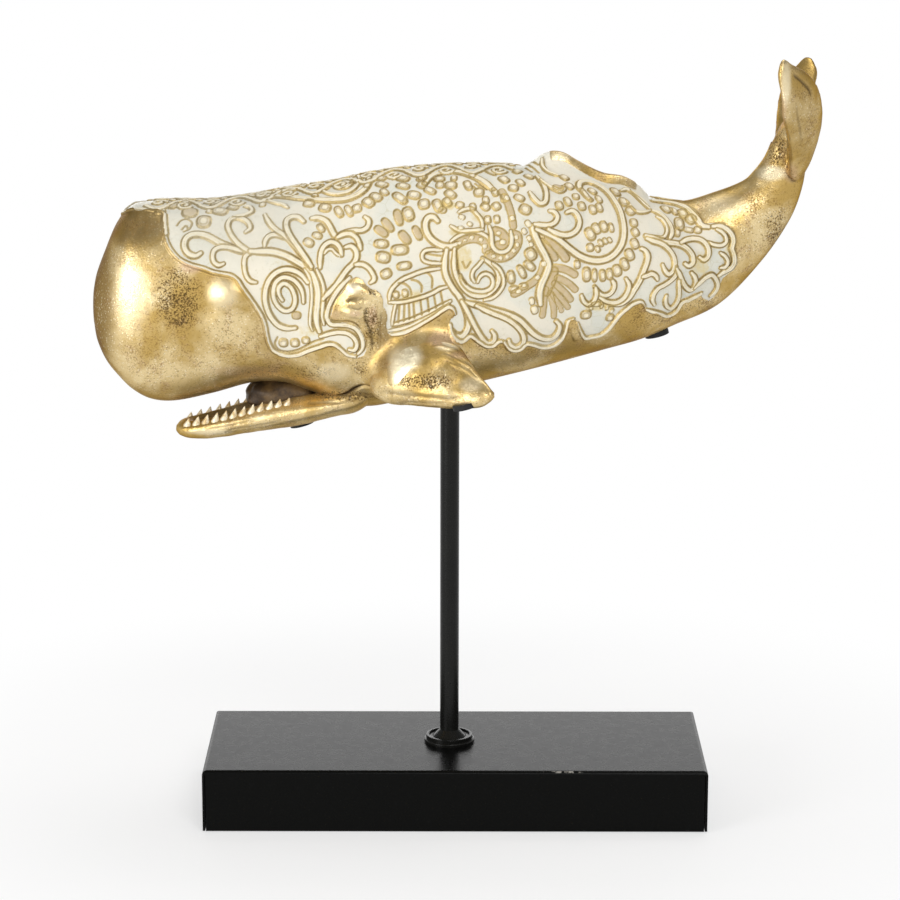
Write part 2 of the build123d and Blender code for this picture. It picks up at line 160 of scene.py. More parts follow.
def skinGrid(step):
    # even grid of points over the left half of the whale: columns along it, rows from back to belly
    turns = np.linspace(math.pi / 2, -math.pi / 2, 361)
    places = np.linspace(0, len(sectionTable) - 1, 700)
    rings = np.stack([halfRing(row, turns) for row in rowsAt(sectionTable, places)])
    hops = np.linalg.norm(np.diff(rings[:, ::30], axis=0), axis=2).max(1)
    course = np.concatenate([[0], np.cumsum(hops)])
    columns = int(course[-1] / step)
    places = np.interp(np.linspace(0, course[-1], columns), course, places)
    girth = np.linalg.norm(np.diff(rings, axis=1), axis=2).sum(1).max()
    rows = int(girth / step)
    grid = np.empty((columns, rows, 3))
    for i, row in enumerate(rowsAt(sectionTable, places)):
        ring = halfRing(row, turns)
        run = np.concatenate([[0], np.cumsum(np.linalg.norm(np.diff(ring, axis=0), axis=1))])
        even = np.linspace(0, run[-1], rows)
        grid[i] = np.stack([np.interp(even, run, ring[:, k]) for k in range(3)], -1)
    # rounded nose: a few more columns draw in to the middle of the first ring
    first = grid[0]
    middle = np.array([first[0, 0], 0, (first[0, 2] + first[-1, 2]) / 2])
    noseSteps = max(3, int(whale["noseReach"] / step))
    shrink = np.sin(np.linspace(0.03, 0.97, noseSteps) * math.pi / 2)[:, None, None]
    nose = middle + (first - middle) * shrink
    nose[..., 0] -= whale["noseDeep"] * (1 - shrink[..., 0] ** 2)
    return np.concatenate([nose, grid])


def gridNormals(grid):
    along = np.gradient(grid, axis=0)
    down = np.gradient(grid, axis=1)
    normal = np.cross(along, down)
    normal /= np.linalg.norm(normal, axis=2, keepdims=True) + 1e-12
    # points away from the middle of its own ring
    middle = grid.mean(1, keepdims=True) * np.array([1, 0, 1])
    flip = np.sign((normal * (grid - middle)).sum(2).mean())
    return normal * flip


def smoothStep(low, high, value):
    t = np.clip((value - low) / (high - low), 0, 1)
    return t * t * (3 - 2 * t)


def bell(value, middle, width):
    # 1 at the middle, fading to both sides
    return np.exp(-((value - middle) / width) ** 2)


def fadeEnds(share, low, high):
    # 0 at both ends of a line and 1 along most of it
    return smoothStep(low, high, share) * smoothStep(low, high, 1 - share)


def keepMost(field, near, value):
    # raises a field to a value where it is lower
    field[near] = np.maximum(field[near], value)


def raiseForms(grid):
    # back ridge and brows, over the smooth sections
    out = grid.copy()
    xs = [spotAt(a, 0, 0)[0] for a, b in whale["crest"]]
    zs = [spotAt(0, 0, b)[2] for a, b in whale["crest"]]
    inside = (grid[..., 0] > xs[0]) & (grid[..., 0] < xs[-1])
    line = hermite(xs, zs, np.clip(grid[..., 0], xs[0], xs[-1]))
    top = grid[:, :1, 2]
    lift = np.maximum(line - top, 0) * inside
    fall = (np.exp(-np.abs(grid[..., 1] / whale["crestWide"]) ** 2.4)
            + whale["crestFootShare"] * bell(grid[..., 1], 0, whale["crestFoot"]))
    upper = smoothStep(0, whale["crestReach"], grid[..., 2] - grid.mean(1, keepdims=True)[..., 2])
    out[..., 2] += lift * np.minimum(fall, 1) * upper
    brow = spotAt(*whale["brow"])
    brow[1] = -brow[1]
    away = out - brow
    reach = np.linalg.norm(away, axis=2)
    push = np.maximum(whale["browRadius"] - reach, 0)
    soft = push**2 / (push + whale["browSoft"])
    out += away / (reach[..., None] + 1e-9) * soft[..., None]
    return out


print("skin grid")
smoothGrid = raiseForms(skinGrid(gridStep))
smoothNormals = gridNormals(smoothGrid)
columns, rows = smoothGrid.shape[:2]


def gridTree(grid, every):
    # the left side as a tree that lines of sight can be cast on
    part = grid[::every, ::every]
    n, m = part.shape[:2]
    spots = [Vector(p) for p in part.reshape(-1, 3)]
    faces = [(i * m + j, i * m + j + 1, (i + 1) * m + j + 1, (i + 1) * m + j)
             for i in range(n - 1) for j in range(m - 1)]
    return BVHTree.FromPolygons(spots, faces)


skinTree = gridTree(smoothGrid, 2)
farOff = 4000.0                # mm, well past the whale from the camera


def castOn(tree, x, y):
    # where the line of sight through a pixel first meets a form
    hit = tree.ray_cast(Vector(shot["place"]), pixelRay(x, y), farOff)[0]
    return None if hit is None else np.array(hit)


def onSkin(x, y):
    # the point of the whale's left side that the photograph shows at a pixel, or the nearest above or below
    for slip in range(12):
        spot = castOn(skinTree, x, y + 0.75 * slip * (1 if y < 260 else -1))
        if spot is not None:
            return spot
    return None


def smoothRun(spots, step=1.6):
    # points of a listed line, rounded between them
    spots = np.array(spots, float)
    hops = np.linalg.norm(np.diff(spots, axis=0), axis=1)
    run = np.concatenate([[0], np.cumsum(hops)])
    fine = np.linspace(0, run[-1], max(2, int(run[-1] / step)))
    return np.stack([hermite(run, spots[:, k], fine) for k in range(2)], -1)


# relief, read off the photograph: lines and studs in its pixels
relief = {
    "ribTall": 1.25, "studTall": 1.0, "bandTall": 0.45, "ground": -0.30, "lineWide": 0.55, "lineDeep": 0.3,
    "grooveFrom": 2.5, "grooveShare": 0.30, "grooveWash": 0.30,   # ribs with more than this half width have a groove
    "studSquare": 2.6, "studRoom": 0.9, "ringGrow": 1.12, "ringDimple": 0.38, "dotTall": 0.7, "dotSeat": 0.8,
    "pixel": 0.493,            # mm on the whale for one pixel
    "coatLow": 362,            # nothing below this pixel row is coated
    "coatTop": {"out": -24.0, "facing": 0.91, "first": -160.0, "last": 92.0},      # the back, where it faces up
    # half width, then the line's points
    "ribs": {
        "rimFront": (2.6, [(163, 211), (163, 222), (164, 232), (166, 243), (171, 252), (177, 259), (183, 263),
            (190, 266), (204, 270), (212, 273), (222, 275), (230, 276.5), (237, 281), (241, 287), (246, 294),
            (251, 301), (257, 310), (262, 319), (264.5, 327), (266, 335), (268, 343), (272, 350), (279, 354),
            (288, 356), (298, 355), (308, 351), (320, 347), (328, 344.5), (334, 345), (341, 350), (347, 355),
            (355, 357)]),
        "bigC": (3.4, [(200, 254), (196, 256.5), (190, 256), (185.5, 252), (183.5, 246), (185, 240), (190, 236),
            (197, 235), (204, 236), (211, 239), (218, 243), (226, 246.5), (234, 249.5), (242, 252), (249, 254)]),
        "smallC": (2.7, [(223, 264.5), (218, 266), (213.5, 263), (212, 257), (213.5, 251.5), (218, 248.5), (225, 248),
            (233, 249.5), (241, 252)]),
        "downHook": (2.6, [(249, 254), (245, 257), (243.5, 263), (244, 270), (246, 277), (250.5, 282), (255.5, 283)]),
        "upLoop": (2.8, [(245, 232.5), (249.5, 229), (248, 224), (243, 220), (236, 218.5), (229.5, 220.5), (227, 226),
            (229, 233), (233.5, 240), (239.5, 246), (246, 250.5), (252, 252.5)]),
        "fork": (2.5, [(233, 217), (240, 216.5), (247, 214.5), (251.5, 211.5), (249.5, 208), (244, 207)]),
        "stem": (3.8, [(250, 252), (256, 252.2), (264, 252), (272, 252.5), (280, 254.5), (288, 257.5), (295, 261.5),
            (302, 265.5), (308, 270), (313, 277), (316, 285), (317.5, 294), (317, 304), (316, 314), (316.5, 324),
            (319, 332)]),
        "stemTwin": (2.2, [(316, 270), (320, 278), (323, 287), (323.5, 297), (322.5, 307), (322, 316), (323.5, 325)]),
        "stemInner": (2.0, [(304, 270), (308.5, 277), (310.5, 286), (311.5, 296), (311, 306), (310, 316), (310, 325),
            (312, 331)]),
        "sideHook": (2.8, [(264, 246.5), (265, 241), (268.5, 236.8), (274, 235.3), (280, 236.5), (285, 239)]),
        "longStem": (2.8, [(264, 215), (267, 221), (271, 226.5), (276, 231), (282, 235), (288, 240), (293, 246),
            (299, 253), (305, 261), (311, 269)]),
        "leafHook": (3.2, [(303, 222), (298, 218), (291.5, 217.5), (286.5, 220.5), (285.5, 226.5), (288, 233.5),
            (292.5, 241), (298, 248.5), (304, 257), (311, 267)]),
        "arcLeft": (3.2, [(311, 218.5), (318, 218.5), (325, 221.5), (329.5, 227.5), (332.5, 233.5), (336, 238.5)]),
        "arcRight": (2.9, [(364, 217), (368, 221), (367, 227), (362, 230.5), (354, 231), (346, 232.5), (340, 235),
            (336, 239)]),
        "arcLow": (2.9, [(337, 238), (343, 235), (350, 234.5), (355.5, 238), (358.5, 243.5), (360, 249.5)]),
        "budOuter": (3.0, [(319.5, 268), (319.5, 259), (321, 251), (324.5, 245.5), (330.5, 242.5), (336, 244.5),
            (340, 250), (341, 255.5)]),
        "budInner": (1.8, [(324, 254), (326.5, 250.5), (331, 249.5), (335, 253.5), (339, 256.5)]),
        "browTop": (3.2, [(345, 247.5), (350, 246.5), (355, 250.5), (356, 257), (353.5, 263), (347, 269.5),
            (340.5, 278.5), (334.5, 287), (328, 293.5), (323, 299)]),
        "browBack": (2.8, [(355, 265), (361, 264.5), (367, 267.5), (371.5, 273), (373.5, 280), (370, 283)]),
        "eyeRim": (2.8, [(349, 278), (343, 284), (336.5, 292), (331, 301), (327.5, 310), (326.5, 318), (330, 324),
            (340, 325), (349, 326), (355.5, 329), (360, 335), (362.5, 342), (362, 349), (358, 354)]),
        "spiralOuter": (3.2, [(295, 328.5), (287, 329), (279, 326.5), (271.5, 319), (266.5, 309), (264.5, 298),
            (266, 287), (270.5, 278), (277, 272.5), (285, 270), (293, 271), (301, 275.5), (307, 283)]),
        "spiralInner": (2.8, [(303, 303), (302, 293), (297.5, 284.5), (290, 279), (282, 278), (276, 282), (273, 290),
            (273.5, 299), (278, 307), (285, 311.5), (291.5, 309.5), (294.5, 303), (293.5, 294), (289, 286.5),
            (283, 284), (278.5, 288), (278.5, 295), (282, 301)]),
        "lowScroll": (2.8, [(320, 337), (329, 334), (339, 332.5), (348, 334), (354, 338.5), (356.5, 345),
            (354, 350.5), (349, 350)]),
        "medalOuter": (3.6, [(250, 197), (262, 196.5), (280, 197), (300, 198.5), (320, 200.3), (335, 200.3),
            (345, 199.3), (352, 197), (362, 191), (367, 185), (367.8, 178), (365, 173)]),
        "medalInner": (2.2, [(318, 190), (328, 194), (340, 194.5), (350, 191.5), (357, 185), (359, 179), (356, 175)]),
        "medalCore": (2.0, [(332, 186), (340, 189), (348, 187), (352, 182), (350, 178)]),
        "leafHigh": (2.2, [(255, 193.5), (275, 193.5), (290, 191.5), (300, 189), (308, 184)]),
        "leafLow": (2.2, [(255, 200), (265, 201), (275, 203.5), (283, 205.5), (287, 208)]),
        "sCurve": (3.6, [(437, 221), (433, 217.5), (428, 217.5), (425, 222), (425, 229), (428, 236), (434, 242),
            (442, 246), (450, 246.5), (456, 244)]),
        "bandRim": (2.2, [(450, 241.5), (457, 236.5), (465, 233), (474, 232), (482, 234), (488, 238.5), (491, 245)]),
        "crescentA": (3.4, [(446, 250), (444.5, 258), (444, 266), (445, 274), (448.5, 282), (453, 289), (458.5, 296),
            (463, 304), (466.5, 313), (468, 322), (466.5, 330), (462, 334.5), (456, 334), (451.5, 330)]),
        "crescentB": (2.9, [(454, 249), (453.5, 258), (453.5, 266), (455, 274), (458.5, 281.5), (463.5, 288.5),
            (470, 294), (478, 296), (486, 294.5), (493, 289.5), (497.5, 282.5), (498, 274.5), (494.5, 267.5),
            (488, 262), (482, 258)]),
        "crescentC": (2.4, [(477, 282), (479.5, 276.5), (484.5, 273.5), (490, 275.5), (492.5, 281), (491, 287),
            (485.5, 290.5), (477, 291), (469, 288.5), (463, 282.5), (459.5, 275)]),
        "crescentD": (2.2, [(482, 260), (477, 266), (472.5, 271), (471.5, 277), (474, 282)]),
        "wingEdge": (2.2, [(484, 300), (492, 297.5), (499, 291.5), (503, 284), (502.5, 276), (499, 269), (492, 263)]),
        "flowHigh": (3.4, [(464, 302), (472, 304), (482, 306.5), (490, 309), (500, 311.5), (508, 314), (515, 317),
            (521, 321), (526, 326), (530, 330.5), (535, 334.5), (542, 338), (549, 338.5), (555, 335.5), (558.5, 330),
            (559, 324.5), (556, 321)]),
        "flowLow": (3.1, [(476, 305.5), (484, 309.5), (492, 313), (500, 316), (507, 319), (513, 323), (518.5, 328),
            (522.5, 334), (523.5, 340), (520.5, 345), (515, 347), (510, 344), (508.5, 340)]),
        "drop": (3.0, [(461, 301), (466, 309), (470, 317), (474, 325), (478, 332), (482, 338), (487, 342.5),
            (491, 342.5), (494, 339), (494, 334.5), (491.5, 331)]),
        "pill": (2.2, [(441, 250.5), (430, 249.8), (424.5, 251), (421.5, 255), (422.5, 260), (428, 262.5),
            (440, 263.5)]),
        "leafTop": (2.4, [(389, 302), (389, 296), (391, 290), (396, 284), (402, 279.5), (411, 275.5), (420, 272),
            (430, 269.5), (439, 268.5)]),
        "leafMid": (2.4, [(389, 302.5), (397, 302.5), (405, 301.5), (415, 299), (425, 296), (433, 292.5),
            (440, 288.5), (446, 287)]),
        "ladderLow": (2.4, [(392, 325), (400, 323), (410, 320), (420, 316), (430, 311.5), (440, 306.5), (450, 301)]),
        "ladderFoot": (2.4, [(389, 331), (400, 328.5), (410, 325.5), (420, 321), (430, 316), (440, 310),
            (448, 304.5)]),
        "ladderEnd": (1.8, [(395, 305), (393, 315), (391.5, 325)]),
        "commaRim": (2.6, [(488.5, 226), (490.5, 233), (491, 241), (493, 248), (499, 252), (506, 250.5), (510, 245.5),
            (511, 238), (510, 231)]),
        "paisleyTop": (3.8, [(424, 184), (428, 178.5), (435, 174.5), (444, 172.3), (454, 171.8), (464, 173.5),
            (474, 177), (484, 182.5), (492, 189)]),
        "crossLeafA": (2.2, [(458, 212), (464, 209.5), (470, 209), (476, 214), (481, 221), (482, 229)]),
        "crossLeafB": (2.2, [(482, 229.5), (470, 230.5), (458, 230.5), (450, 226)]),
        "trunk": (3.9, [(531, 226), (534, 234), (539, 245), (545, 256), (548, 265), (545, 275), (541, 284),
            (539, 294), (540, 304)]),
        "bigPaisley": (3.6, [(536, 229), (545, 233), (556, 238), (563, 243.5), (571, 250), (580, 256), (590, 259.5),
            (600, 260), (609, 257), (616, 251), (621, 243), (623, 233), (622, 221), (619, 210), (614, 201),
            (607, 192), (600, 186.5), (592, 182.5), (584, 181), (579, 182.5), (578, 186), (582, 191), (586, 196),
            (590, 199)]),
        "petalA": (2.9, [(534, 224), (542, 225), (550, 224.5), (555, 221), (556.5, 216), (553, 211.5), (549, 210.5)]),
        "petalB": (3.1, [(548, 229), (556, 233), (564, 235), (572, 233), (577, 228), (578.5, 221), (576, 214),
            (571, 210.5), (566, 212)]),
        "loop": (2.9, [(536, 176), (541, 182), (544.5, 189), (545.5, 196), (544, 202), (540, 203.5), (535, 200),
            (531, 195), (529, 192)]),
        "wing": (2.4, [(540, 180), (547, 185), (553, 188.5), (560, 191), (563, 189), (562, 185.5)]),
        "ridgeFoot": (2.2, [(541, 158), (541.5, 165), (545, 170), (550, 173), (557, 175)]),
        "leafR1": (2.4, [(620, 190), (626, 189), (631, 192), (638, 198.5), (645, 205), (650, 209)]),
        "leafR2": (2.2, [(630, 190.5), (637, 196), (644, 202), (648, 206)]),
        "leafR3": (2.2, [(626, 200), (630, 206), (636, 211), (643, 211.5), (649, 210)]),
        "scrollR": (2.9, [(652, 210), (659, 213), (665, 218.5), (669.5, 225), (671, 232), (669, 238)]),
        "scrollRIn": (2.0, [(656, 216), (661, 219), (665, 225), (666, 231), (663, 236.5), (656, 236.5), (648, 235)]),
        "tailEdge": (3.6, [(652, 200), (665, 201.5), (676, 203.5), (685, 207), (692, 213), (697, 219), (701, 224.5),
            (708, 226)]),
        "tailLobes": (3.2, [(712, 225.5), (720, 225.5), (727, 229), (731.5, 235), (732.5, 241), (731, 247),
            (733, 254), (733.5, 261), (730, 267), (723, 271), (718, 275)]),
        "tailArcA": (2.4, [(716, 228.5), (721, 231), (725, 236), (725.5, 241), (722, 244), (714, 244), (706, 241)]),
        "tailArcB": (2.4, [(720, 252), (725, 256), (727, 261), (725, 265.5), (720, 267)]),
        "tailHook": (3.2, [(645, 235), (652, 237.5), (660, 240.5), (668, 242), (676, 243), (683, 245.5), (688.5, 250),
            (692, 256), (692, 262), (688, 265), (684.5, 263)]),
        "tailRib": (2.9, [(680, 242), (686, 239), (693, 237.8), (700, 239), (705, 243), (708, 250), (707, 256),
            (703, 259), (699, 256.5)]),
        "tailLoopA": (2.8, [(646, 238), (652, 240.5), (659, 242.5), (665, 246), (670, 251), (673.5, 258), (674, 265),
            (671.5, 271), (668, 273.5), (664.5, 270), (662, 264)]),
        "tailLoopB": (2.7, [(676, 266), (675, 274), (671, 279), (664, 284), (657, 288), (653, 294), (652, 300),
            (654, 304)]),
        "tailLoopC": (2.9, [(676, 268), (679, 274), (682, 281), (686, 287), (689, 289), (693, 287), (695, 282),
            (694, 276), (691, 272)]),
        "tailLoopD": (2.6, [(678, 280), (678.5, 288), (678, 297), (674.5, 304), (670, 307.5), (666, 305), (665, 299),
            (666, 295)]),
        "tailFoot": (2.8, [(694, 287), (700, 281), (706, 276), (711, 274), (715, 278), (717, 284), (715, 290),
            (710, 295)]),
        "longRib": (3.2, [(611, 304), (620, 303), (628, 297.5), (634, 288.5), (639.5, 279), (643, 270), (646, 262),
            (647, 255), (644, 249.5), (641, 248)]),
        "branch": (2.7, [(642, 276), (646, 275), (651, 273), (655, 275), (657, 279)]),
        "pairA": (2.7, [(594, 286), (597, 291), (602, 294.5), (608, 294), (612.5, 289.5), (613.5, 283), (611, 279)]),
        "pairB": (2.7, [(599, 297), (607, 301), (615, 301.5), (622, 298), (627, 291), (628.5, 284), (625.5, 278)]),
        "cup": (2.6, [(581, 295), (583, 300.5), (588, 304), (593, 301), (595.5, 295), (595, 287)]),
        "scallopA": (2.4, [(391, 334.5), (400, 333), (415, 327), (425, 321.5), (435, 315.5), (442, 310.5), (449, 307),
            (453, 309.5), (454.5, 314)]),
        "scallopB": (2.4, [(450, 324), (451, 331), (456, 337), (463, 339), (470, 335.5), (478, 341), (487, 346),
            (493, 345.5), (499, 341), (504, 341.5)]),
        "scallopC": (2.4, [(504, 341.5), (507, 347), (513, 350), (520, 349), (526, 344), (533, 344.5), (542, 347),
            (551, 346), (558, 342), (563, 336), (566, 328), (568, 320.5), (573, 318.5)]),
        "scallopD": (2.4, [(577, 323), (580, 331), (584, 337), (592, 336.5), (600, 334.5), (608, 328.5), (614, 321),
            (620, 313.5), (627, 307.5), (635, 302), (641, 301), (644, 305)]),
        "scallopE": (2.6, [(646, 309), (653, 311), (660, 313), (666, 315), (672, 313), (677, 308.5), (681, 302),
            (688, 299), (696, 295), (701, 292.5)]),
    },
    # broad tan fillings that carry studs
    "bands": {
        "hookBand": (4.0, [(453, 247), (459, 242.5), (466, 239.5), (474, 238.5), (482, 241), (486, 246),
            (485.5, 250)]),
        "comma": (4.2, [(495, 230.5), (500.5, 232.5), (504, 237), (504.5, 242.5), (501, 246), (497.5, 245)]),
        "outerBand": (3.9, [(488, 254.5), (495, 257.5), (503, 257.5), (510, 254), (515, 248), (517.5, 241),
            (516.5, 235), (512.5, 233.5)]),
        "sideBand": (3.4, [(501, 191), (505, 198), (508.5, 207), (511, 216), (512.5, 226)]),
        "lowBand": (3.8, [(514, 293.5), (520, 290.5), (527, 285.5), (535, 280), (541, 272), (543.5, 263)]),
        "finger1": (3.6, [(553, 267.5), (560, 267.8), (567, 270), (574, 274)]),
        "finger2": (3.3, [(557, 277.5), (565, 281), (571, 285.5), (574.5, 289)]),
        "finger3": (3.1, [(554, 283), (561, 289), (567, 295), (570, 299)]),
        "finger4": (2.6, [(552.5, 289), (558, 295), (564, 302), (567.5, 307)]),
        "finger5": (2.3, [(551, 293), (555.5, 300), (559.5, 306), (561, 310.5)]),
        "finger6": (2.8, [(549.5, 293), (552, 302), (553.5, 309), (553.5, 316)]),
        "finger7": (3.0, [(545, 289), (543.7, 299), (543, 308), (542, 315.5)]),
        "palm": (4.6, [(553, 271), (551, 279), (547.5, 287), (546, 291)]),
        "featherA": (3.2, [(541, 240.5), (546, 245.5), (551, 252), (554.5, 257.5)]),
        "featherB": (4.2, [(547.5, 239), (555, 245.5), (561, 252), (565, 257.5)]),
        "plume": (5.0, [(572, 324), (574, 330), (577, 337)]),
    },
    # centre, half length, half width, direction of the length in degrees, kind
    "studs": {
        "ring": [
            (308, 204, 5.2, 3.2, 5), (324, 208, 5.6, 4, 12), (338, 212, 5.6, 3.6, 62), (348, 211, 5.8, 3.2, 60),
            (356, 208.5, 4.6, 4, -15), (367.5, 202.5, 5.6, 4.6, 35), (375, 197, 5.8, 4, 28), (383.5, 192, 4.2, 3, 40),
            (381, 184.5, 5.6, 3, 15), (380, 178.5, 4.6, 2.2, 8), (402, 178.5, 6.2, 2.8, 8), (402, 186, 6.4, 3, 10),
            (399, 198, 7.6, 4, 38), (413, 195, 6.2, 4, 15), (423, 204, 5.4, 4.8, -10), (437, 205.5, 6.4, 4.4, 65),
            (446.5, 202, 4.8, 3.4, 50), (422, 178.5, 4.2, 2.4, 0), (421, 185, 4.6, 3.4, 20),
            (429, 190.5, 5.8, 3.2, 25),
            (438.5, 179, 5.2, 2.6, -8), (450, 185, 5.6, 3.6, 5), (453, 178, 3.2, 2.6, 0), (467, 185, 4.8, 3.6, 65),
            (449.5, 194, 5.6, 3.8, 35), (407.5, 214, 6.8, 5.2, 68), (380.5, 244, 6.8, 4.2, 3), (399, 250, 8, 5, -3),
            (382.5, 257.5, 6.8, 5.4, 10), (403.5, 266, 6.8, 4, -8), (385.5, 274, 5.4, 4.6, -25),
            (478, 192, 4.8, 4.2, 0),
            (484.5, 206.5, 4.6, 3.6, 35), (495.5, 206, 4.2, 4, 60), (510.5, 277, 6.2, 3.8, 80),
            (521, 271.5, 6.8, 3.4, 62),
            (529, 265.5, 6.2, 3.8, 40), (530, 254, 6.2, 5.4, 60), (524.5, 209, 5.8, 4.8, 25),
            (518.5, 197.5, 5.2, 3.2, 25),
            (512.5, 187.5, 4.8, 3.2, 10), (519.5, 182, 4.4, 3, 45), (503, 179, 4.8, 3.4, 35),
            (503.5, 165, 3.8, 1.8, 0),
            (516.5, 171, 3.6, 2.4, 20), (528, 176, 4.6, 2.2, 25), (490, 172, 5.2, 2, 25), (563.5, 177, 4.2, 2.6, 35),
            (568.5, 185.5, 4.4, 3, 40), (575, 196, 3.4, 3, 0), (567, 201, 4.8, 3.2, 60), (558.5, 205, 4.4, 3.6, 70),
            (581, 205.5, 4.4, 3.6, 70), (592, 209, 4.6, 3.4, 70), (598.5, 207, 4.6, 3, 68),
            (598, 198.5, 4.2, 2.6, 58),
            (591.5, 190.5, 4.6, 2.4, 35), (584.5, 194, 6.8, 2.4, 50), (589.5, 233.5, 6.4, 4.4, 62),
            (595.5, 228, 5.4, 3.8, 62),
            (603, 226, 5.4, 3.8, 70), (610.5, 227, 4.6, 2.4, 75), (589.5, 247, 4, 3.6, 80),
            (597, 248.5, 3.4, 2.4, 65),
            (600, 242.5, 3.8, 2.2, 60), (604.5, 240.5, 3.4, 2.2, 60), (609, 239.5, 3, 2, 60),
            (614.5, 191, 4.8, 3.2, 55),
            (623, 201, 4.4, 3.8, 70), (629.5, 210.5, 4.4, 3.6, 55), (633, 222, 4, 3.6, 80),
            (634.5, 231.5, 4.4, 3.6, 60),
            (634, 243, 5.2, 3.8, 68), (629, 254, 5.8, 4.2, 66), (624, 263.5, 6, 3.8, 68), (616.5, 270, 5.6, 4.2, 75),
            (576.5, 264, 4.2, 3, 85), (586, 274, 6.8, 4, 88), (594, 275, 6.2, 2.6, 88), (602, 275, 5.6, 3.2, 85),
            (609, 273.5, 5.4, 3.2, 85), (665.5, 208, 5, 3.2, 40), (673, 210, 4.8, 2.6, 45), (682, 212.5, 4.8, 4, 60),
            (690, 218.5, 4.8, 4.4, 40), (678.5, 223, 6.2, 4.4, 80), (676.5, 231.5, 4.2, 2.8, 85),
            (697, 229, 3.8, 3.4, 0),
            (688, 229, 5, 2.6, 10), (585.5, 314.5, 5, 4, 0), (609.5, 317, 3.6, 3.4, 0), (595.5, 303.5, 4.8, 2.6, 0),
            (283, 343.5, 4.2, 4, 0), (294.5, 343.5, 4.2, 4, 0), (305.5, 341, 3.8, 3.4, 0), (320, 228.5, 4.6, 3, 50),
            (316.5, 236, 4.8, 3.2, 20), (308, 243, 5.2, 4, 30), (203, 222, 6.6, 5.6, 0), (219, 211.5, 7, 3.6, 10),
            (424, 189, 4, 3.2, 20), (431, 194, 4, 3.2, 20), (439, 185, 4, 3, 0), (448, 181, 4, 3, 0),
            (457, 181, 4, 3, 0),
            (426, 203, 4, 3.4, 0), (435, 204, 4, 3.4, 0), (442, 210, 3.6, 3, 0), (451, 199, 4, 3.4, 10),
            (459, 205, 4, 3.4, 10),
            (476, 197, 4, 3.2, 80), (485, 200, 4, 3.2, 80), (494, 192, 4, 3, 70), (503, 198, 4, 3.2, 80),
            (472, 207, 4, 3.2, 80),
            (482, 210, 4, 3.2, 80), (493, 209, 4, 3.2, 80), (487, 219.5, 4, 3.2, 80), (496, 219, 4, 3.2, 80),
            (509.6, 276, 4, 3.2, -20), (518, 272, 4, 3.2, -25), (527, 267.5, 4, 3.2, -30), (513, 289, 4.4, 3.4, -10),
            (523, 286, 4.4, 3.4, -15), (590, 307, 3, 1.8, 60), (595.3, 305.4, 3, 1.8, 75), (601, 305, 3, 1.8, 90),
            (606.5, 307, 3, 1.8, 105), (611, 310.5, 3, 1.8, 125),
            (172, 205, 5.5, 3, 0), (185, 203.5, 5, 2.6, 0), (232, 208, 5, 2.4, 10), (217, 204, 6, 2.6, 0),
            (395.5, 295, 3.6, 3.2, 80), (404.5, 293.5, 4, 3, 80), (345, 183, 6.5, 2.4, 5), (323, 188, 5, 2.4, 5),
        ],
        "dot": [
            (498, 233, 2.4, 2.2, 0), (502, 242, 3, 2.8, 0), (493, 256, 2.4, 1.9, 20), (500, 257.8, 2.3, 1.9, 0),
            (506.5, 256.4, 2.2, 1.9, 0), (513, 250.5, 2.4, 2, 70), (516.5, 244.5, 2.4, 2, 80),
            (515.5, 237, 2.4, 2.2, 80),
            (459, 243, 2.3, 1.8, -30), (464.5, 240.3, 1.9, 1.6, 0), (471, 237.5, 2.4, 1.9, -10),
            (480, 239.5, 2.4, 2, 20),
            (484, 246, 2.8, 2.4, 0), (506, 198, 2.8, 2.2, 60), (511.5, 218, 2.8, 2.4, 70), (461, 217, 3.2, 2.4, 20),
            (469, 224, 2.8, 2.2, 30), (460, 228, 3, 2, 10), (527.5, 223.5, 3.8, 2.8, 55), (523.5, 231, 3.2, 2.4, 60),
            (528.5, 238, 2.8, 2.2, 60), (530.5, 244, 2.6, 2, 60), (518, 291, 3, 2, -25), (523.5, 285, 2.2, 1.8, 0),
            (537, 277, 2.6, 2.2, -40), (543, 263.5, 3, 2.4, 80), (531.5, 301, 3.8, 2.6, 80),
            (534, 309.5, 4.2, 3.4, 80),
        ],
        "pod": [
            (397.5, 217.5, 8.4, 4.2, 72), (387, 225, 8.4, 4, 50), (380.5, 231.5, 8, 4.2, 35),
            (404, 237.5, 8, 4.6, 50),
            (416.5, 233, 7.8, 4, 62), (189, 213, 8, 4.6, 0), (296, 316, 4.6, 4, 0), (557, 187.5, 5.8, 3.2, 12),
        ],
    },
    # thin gold lines
    "lines": [
        [(398, 283), (404, 284), (409, 288), (411, 295)], [(411, 280), (417, 281.5), (421, 286), (421, 292)],
        [(427, 273), (431, 277), (431.5, 288)], [(399, 305), (398, 322)], [(404, 305), (403.5, 320.5)],
        [(408.5, 304), (409, 319)], [(413, 303), (414, 317.5)], [(420, 301), (421.5, 314.5)], [(427, 298.5),
        (428.5, 311)],
        [(433.5, 295.5), (435.5, 307.5)], [(440, 292), (442.5, 303.5)], [(425, 253.5), (433, 255), (441, 256)],
        [(277, 338), (274.5, 345), (278, 350.5), (286, 352.5), (296, 351), (305, 347), (314, 342), (323, 339.5)],
        [(525, 163), (532, 167), (538, 172)], [(524, 167), (531, 171)], [(530, 160), (537, 164)],
        [(176, 226), (180, 221), (186, 219.5), (191, 223), (189, 229), (183, 232)], [(181, 230), (185, 226),
        (187, 229)],
        [(456, 250), (457, 262), (460, 276), (466, 284)], [(470, 262), (465, 268), (462, 262)],
        [(470, 184), (476, 189)], [(474, 183), (481, 188)], [(479, 184), (486, 189)],
    ],
    # edge of the cream coat, closed above the whale's back
    "coat": [
        (118, 120), (122, 215), (129, 210.5), (138, 207.5), (150, 206.5), (158, 208), (163, 213), (163, 222),
        (164, 232), (166, 243), (171, 252), (177, 259), (183, 263), (190, 266),
